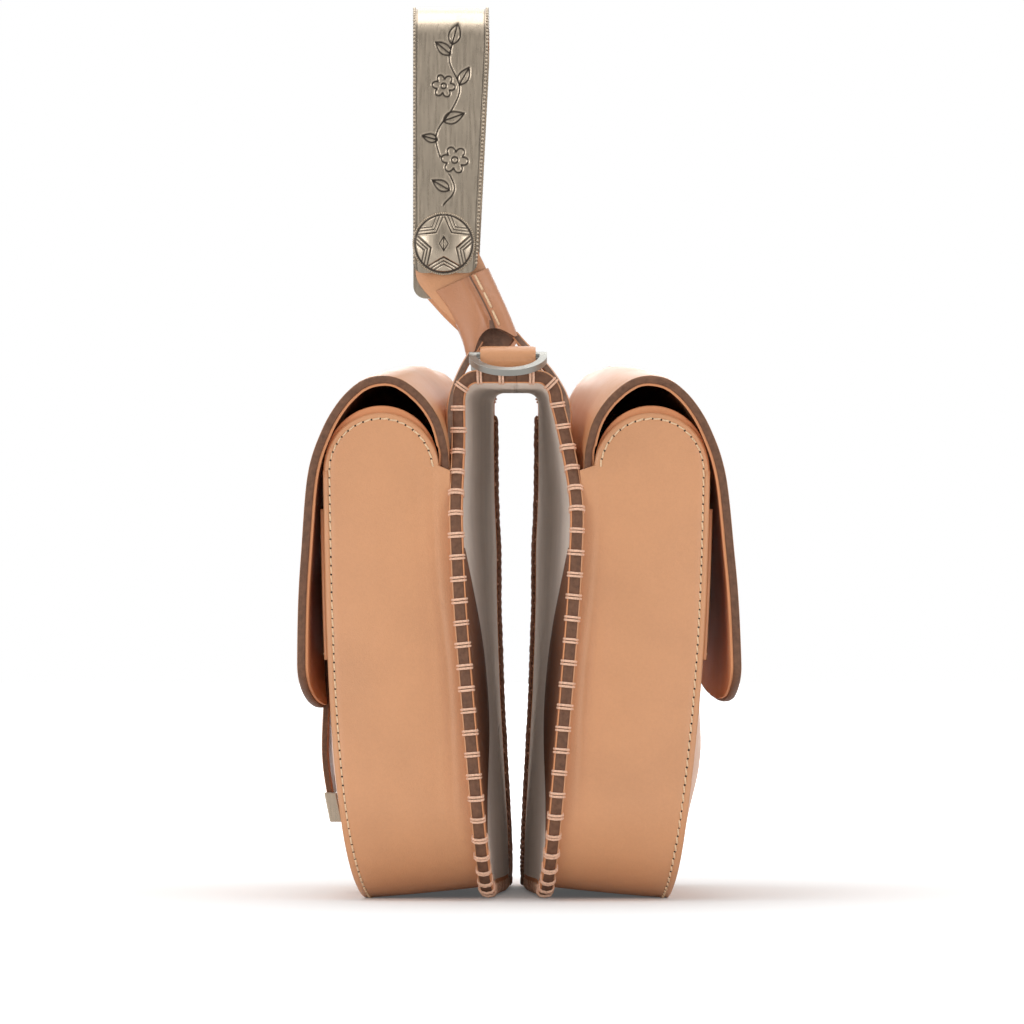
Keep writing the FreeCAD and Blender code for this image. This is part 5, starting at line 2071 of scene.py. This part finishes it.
@dataclass
class YokeEnd:
    """What sits on one end of the yoke: the anchor straps of the handle, the D-ring and its loop."""

    end: End
    leg_y: float = 78.0
    leg_width: float = 18.0
    leg_wall: float = 3.0
    leg_taper: float = 7.4
    leg_rows: int = 36
    loop_rows: int = 90
    loop_width: float = 22.0
    loop_wall: float = 1.9
    shoulder_x: float = 21.3
    front_rise: Line = (
        (0.02, 180.0), (0.0, 194.0), (0.06, 201.0), (0.20, 207.5), (0.40, 214.0), (0.70, 221.5))
    strap_top: dict[Half, tuple[float, float]] = field(
        default_factory=lambda: {Half.FRONT: (0.77, 223.3), Half.REAR: (0.85, 225.8)})
    ring_shift: float = -3.4
    rear_settle: float = 6.0
    crown_x: dict[End, tuple[float, float]] = field(
        default_factory=lambda: {End.NEAR: (-11.0, -4.6), End.FAR: (-5.5, -1.6)})
    loop_line: Line = (
        (51.0, 210.1), (70.0, 210.1), (83.0, 210.4), (88.0, 212.4), (91.6, 214.3), (93.7, 216.6),
        (92.6, 219.2), (90.0, 219.6), (86.5, 216.4), (82.0, 213.0), (70.0, 212.15), (51.0, 212.1))
    pieces: list[tuple[Piece, Finish]] = field(default_factory=list)

    def leg(self, half: Half) -> Piece:
        """One anchor strap, from the yoke's shoulder up into the sleeve.

        Args:
            half: Side of the yoke that the strap starts on.

        Returns:
            The strap.
        """
        foot = half.value * self.shoulder_x * math.cos(SPLAY)
        foot -= half.value * self.end.value * self.leg_y * math.sin(SPLAY)
        if half is Half.REAR and self.end is End.NEAR:
            foot -= self.rear_settle
        crown = self.crown_x[self.end][0 if half is Half.FRONT else 1]
        rise = (*self.front_rise, self.strap_top[half])
        line = smooth_line([(foot + (crown - foot) * share, z) for share, z in rise], self.leg_rows)
        way = unit(np.gradient(line, axis=0))
        out = as_rows(way[:, 1], np.zeros(self.leg_rows), -way[:, 0])
        side = self.end.value * self.leg_y - self.leg_width / 2
        low = as_rows(line[:, 0], np.full(self.leg_rows, side), line[:, 1])
        narrow = np.clip((line[:, 1] - 208.0) / 14.0, 0.0, 1.0) * self.leg_taper
        high = low.copy()
        high[:, 1] += self.leg_width - narrow
        low[:, 1] += narrow
        return ribbon("anchor_" + half.prefix + "leg" + self.end.suffix, low, high, out, self.leg_wall)

    def loop(self) -> Piece:
        """The leather loop that holds the D-ring, folded round its bar.

        Returns:
            The loop.
        """
        line = smooth_line(self.loop_line, self.loop_rows)
        way = unit(np.gradient(line, axis=0))
        out = as_rows(np.zeros(self.loop_rows), way[:, 1] * self.end.value, -way[:, 0])
        start = self.ring_shift - self.loop_width / 2
        low = as_rows(np.full(self.loop_rows, start), line[:, 0] * self.end.value, line[:, 1])
        high = low.copy()
        high[:, 0] += self.loop_width
        piece = ribbon("d_ring_loop" + self.end.suffix, low, high, out, self.loop_wall)
        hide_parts("d_ring_tab" + self.end.suffix)
        return piece

    def build(self) -> None:
        """Builds anchor straps, loop and ring."""
        legs = [self.leg(half) for half in Half]
        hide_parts("handle_anchor" + self.end.suffix)
        self.pieces = [(legs[0], TAN), (legs[1], TAN), (self.loop(), TAN)]
        self.ring = rounded_copy("d_ring" + self.end.suffix, NICKEL, 0.8)
        self.ring.data.transform(Matrix.Translation((self.ring_shift * MM, 0.0, 0.0)))

    def dress(self) -> None:
        """Hangs the leather on the saddle and the ring on its own body."""
        for piece, finish in self.pieces:
            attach(piece, "saddle")
        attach(self.ring, "d_ring" + self.end.suffix)


# Studio


@dataclass
class Studio:
    """White sweep of floor and surround, soft light and the camera of the photograph."""

    camera_at: Triple = (-0.0018, -4.1, 0.1548)
    lens: float = 354.5
    surround: float = 0.62
    front_dim: float = 0.5
    floor_white: float = 0.83
    # Glow of the floor to the camera by distance from the bag: low near it, a painted grey shadow round the
    # bag.
    floor_glow_and_painted_shadow: Sequence[float] = (0.12, 1.1, 0.08, 0.85)
    aim: Triple = (0.0, 0.0, 0.15)
    lamps: Sequence[tuple[str, Triple, float, float]] = (
        ("top", (-0.3, 0.05, 2.2), 1.8, 23.0),
        ("left", (-2.2, -2.5, 0.4), 1.4, 28.0),
        ("right", (2.2, -2.5, 0.4), 1.4, 22.5),
        ("back", (0.0, 1.8, 1.9), 1.6, 10.0),
        ("low", (0.0, 2.4, 0.4), 0.9, 8.0))

    def floor(self) -> None:
        """Pale floor that reads white to the camera far off; its glow fades near the bag as a painted shadow,
        and it keeps the bag's cast shadow.
        """
        mesh = bpy.data.meshes.new("floor")
        mesh.from_pydata([(-5, -5, 0), (5, -5, 0), (5, 5, 0), (-5, 5, 0)], [], [(0, 1, 2, 3)])
        sheet = stand("floor", mesh)
        material = bpy.data.materials.new("studio_floor")
        material.use_nodes = True
        tree = material.node_tree
        shader = tree.nodes["Principled BSDF"]
        for socket, value in (("Base Color", (*(self.floor_white,) * 3, 1.0)), ("Roughness", 0.9),
                              ("Specular IOR Level", 0.0), ("Emission Color", (1.0, 1.0, 1.0, 1.0))):
            shader.inputs[socket].default_value = value
        seen = add_node(tree, "ShaderNodeLightPath")
        at = add_node(tree, "ShaderNodeTexCoord")
        far = add_node(tree, "ShaderNodeVectorMath", {0: at.outputs["Object"]})
        far.operation = "LENGTH"
        # Glow rises with distance from the bag, so the dimmer floor near it is painted shadow.
        painted_shadow_fade = map_range(tree, far.outputs["Value"], self.floor_glow_and_painted_shadow)
        glow = add_node(tree, "ShaderNodeMath", {0: seen.outputs["Is Camera Ray"], 1: painted_shadow_fade.outputs["Result"]})
        glow.operation = "MULTIPLY"
        tree.links.new(glow.outputs[0], shader.inputs["Emission Strength"])
        mesh.materials.append(material)

    def light(self, name: str, at: Triple, size: float, power: float) -> None:
        """Adds a soft square light aimed at the bag.

        Args:
            name: Name of the light.
            at: Place, in metres.
            size: Side of the square, in metres.
            power: Power in watts.
        """
        data = bpy.data.lights.new(name, "AREA")
        data.shape = "SQUARE"
        data.size = size
        data.energy = power
        lamp = stand(name, data)
        lamp.location = at
        lamp.rotation_euler = (Vector(self.aim) - Vector(at)).to_track_quat("-Z", "Y").to_euler()

    def world(self) -> None:
        """White surround for the camera, dimmer as light; what mirrors see of it darkens to the front."""
        scene = bpy.context.scene
        scene.world = bpy.data.worlds.new("studio")
        scene.world.use_nodes = True
        tree = scene.world.node_tree
        ground = tree.nodes["Background"]
        ground.inputs["Color"].default_value = (1.0, 1.0, 1.0, 1.0)
        seen = add_node(tree, "ShaderNodeLightPath").outputs
        either = add_node(tree, "ShaderNodeMath", {0: seen["Is Camera Ray"], 1: seen["Is Transmission Ray"]})
        either.operation = "MAXIMUM"
        level = map_range(tree, either.outputs[0], (0.0, 1.0, self.surround, 1.0))
        way = add_node(tree, "ShaderNodeTexCoord")
        parts = add_node(tree, "ShaderNodeSeparateXYZ", {"Vector": way.outputs["Generated"]})
        mirrored = map_range(tree, parts.outputs["Y"], (-0.9, -0.45, self.front_dim, 1.15))
        mirrored.interpolation_type = "SMOOTHSTEP"
        choose = add_node(tree, "ShaderNodeMix",
                          {"Factor": seen["Is Glossy Ray"], "A": level.outputs["Result"],
                           "B": mirrored.outputs["Result"]})
        tree.links.new(choose.outputs["Result"], ground.inputs["Strength"])

    def camera(self) -> None:
        """Long lens, level with the middle of the bag, square on to its near end."""
        data = bpy.data.cameras.new("camera")
        data.lens = self.lens
        data.sensor_width = 36.0
        data.clip_end = 50.0
        eye = stand("camera", data)
        eye.location = self.camera_at
        eye.rotation_euler = Euler((math.pi / 2, 0.0, 0.0))
        bpy.context.scene.camera = eye

    def build(self) -> None:
        """Sets floor, surround, lights and camera."""
        bpy.context.scene.view_settings.view_transform = "Standard"
        self.floor()
        self.world()
        for name, at, size, power in self.lamps:
            self.light(name, at, size, power)
        self.camera()


def main() -> None:
    """Builds and dresses every sub-assembly in order."""
    logging.basicConfig(level=logging.INFO, format="%(name)s: %(message)s")
    repeats = Repeats()
    Studio().build()
    for half in Half:
        panel = SaddlePanel(half)
        panel.build(repeats)
        panel.dress()
        pouch = Pouch(half, panel)
        pouch.build(repeats)
        pouch.dress()
        flap = Flap(half)
        flap.build()
        flap.dress()
        LOG.info("built %s side", half.name.lower())
    strap = ClosureStrap()
    strap.build()
    strap.dress()
    handle = Handle()
    handle.build(repeats)
    handle.dress()
    for end in End:
        tab = HandleTab(end)
        tab.build(repeats)
        tab.dress()
        yoke_end = YokeEnd(end)
        yoke_end.build()
        yoke_end.dress()
        LOG.info("built %s end", end.name.lower())
    bpy.context.view_layer.update()


if __name__ == "__main__":
    main()
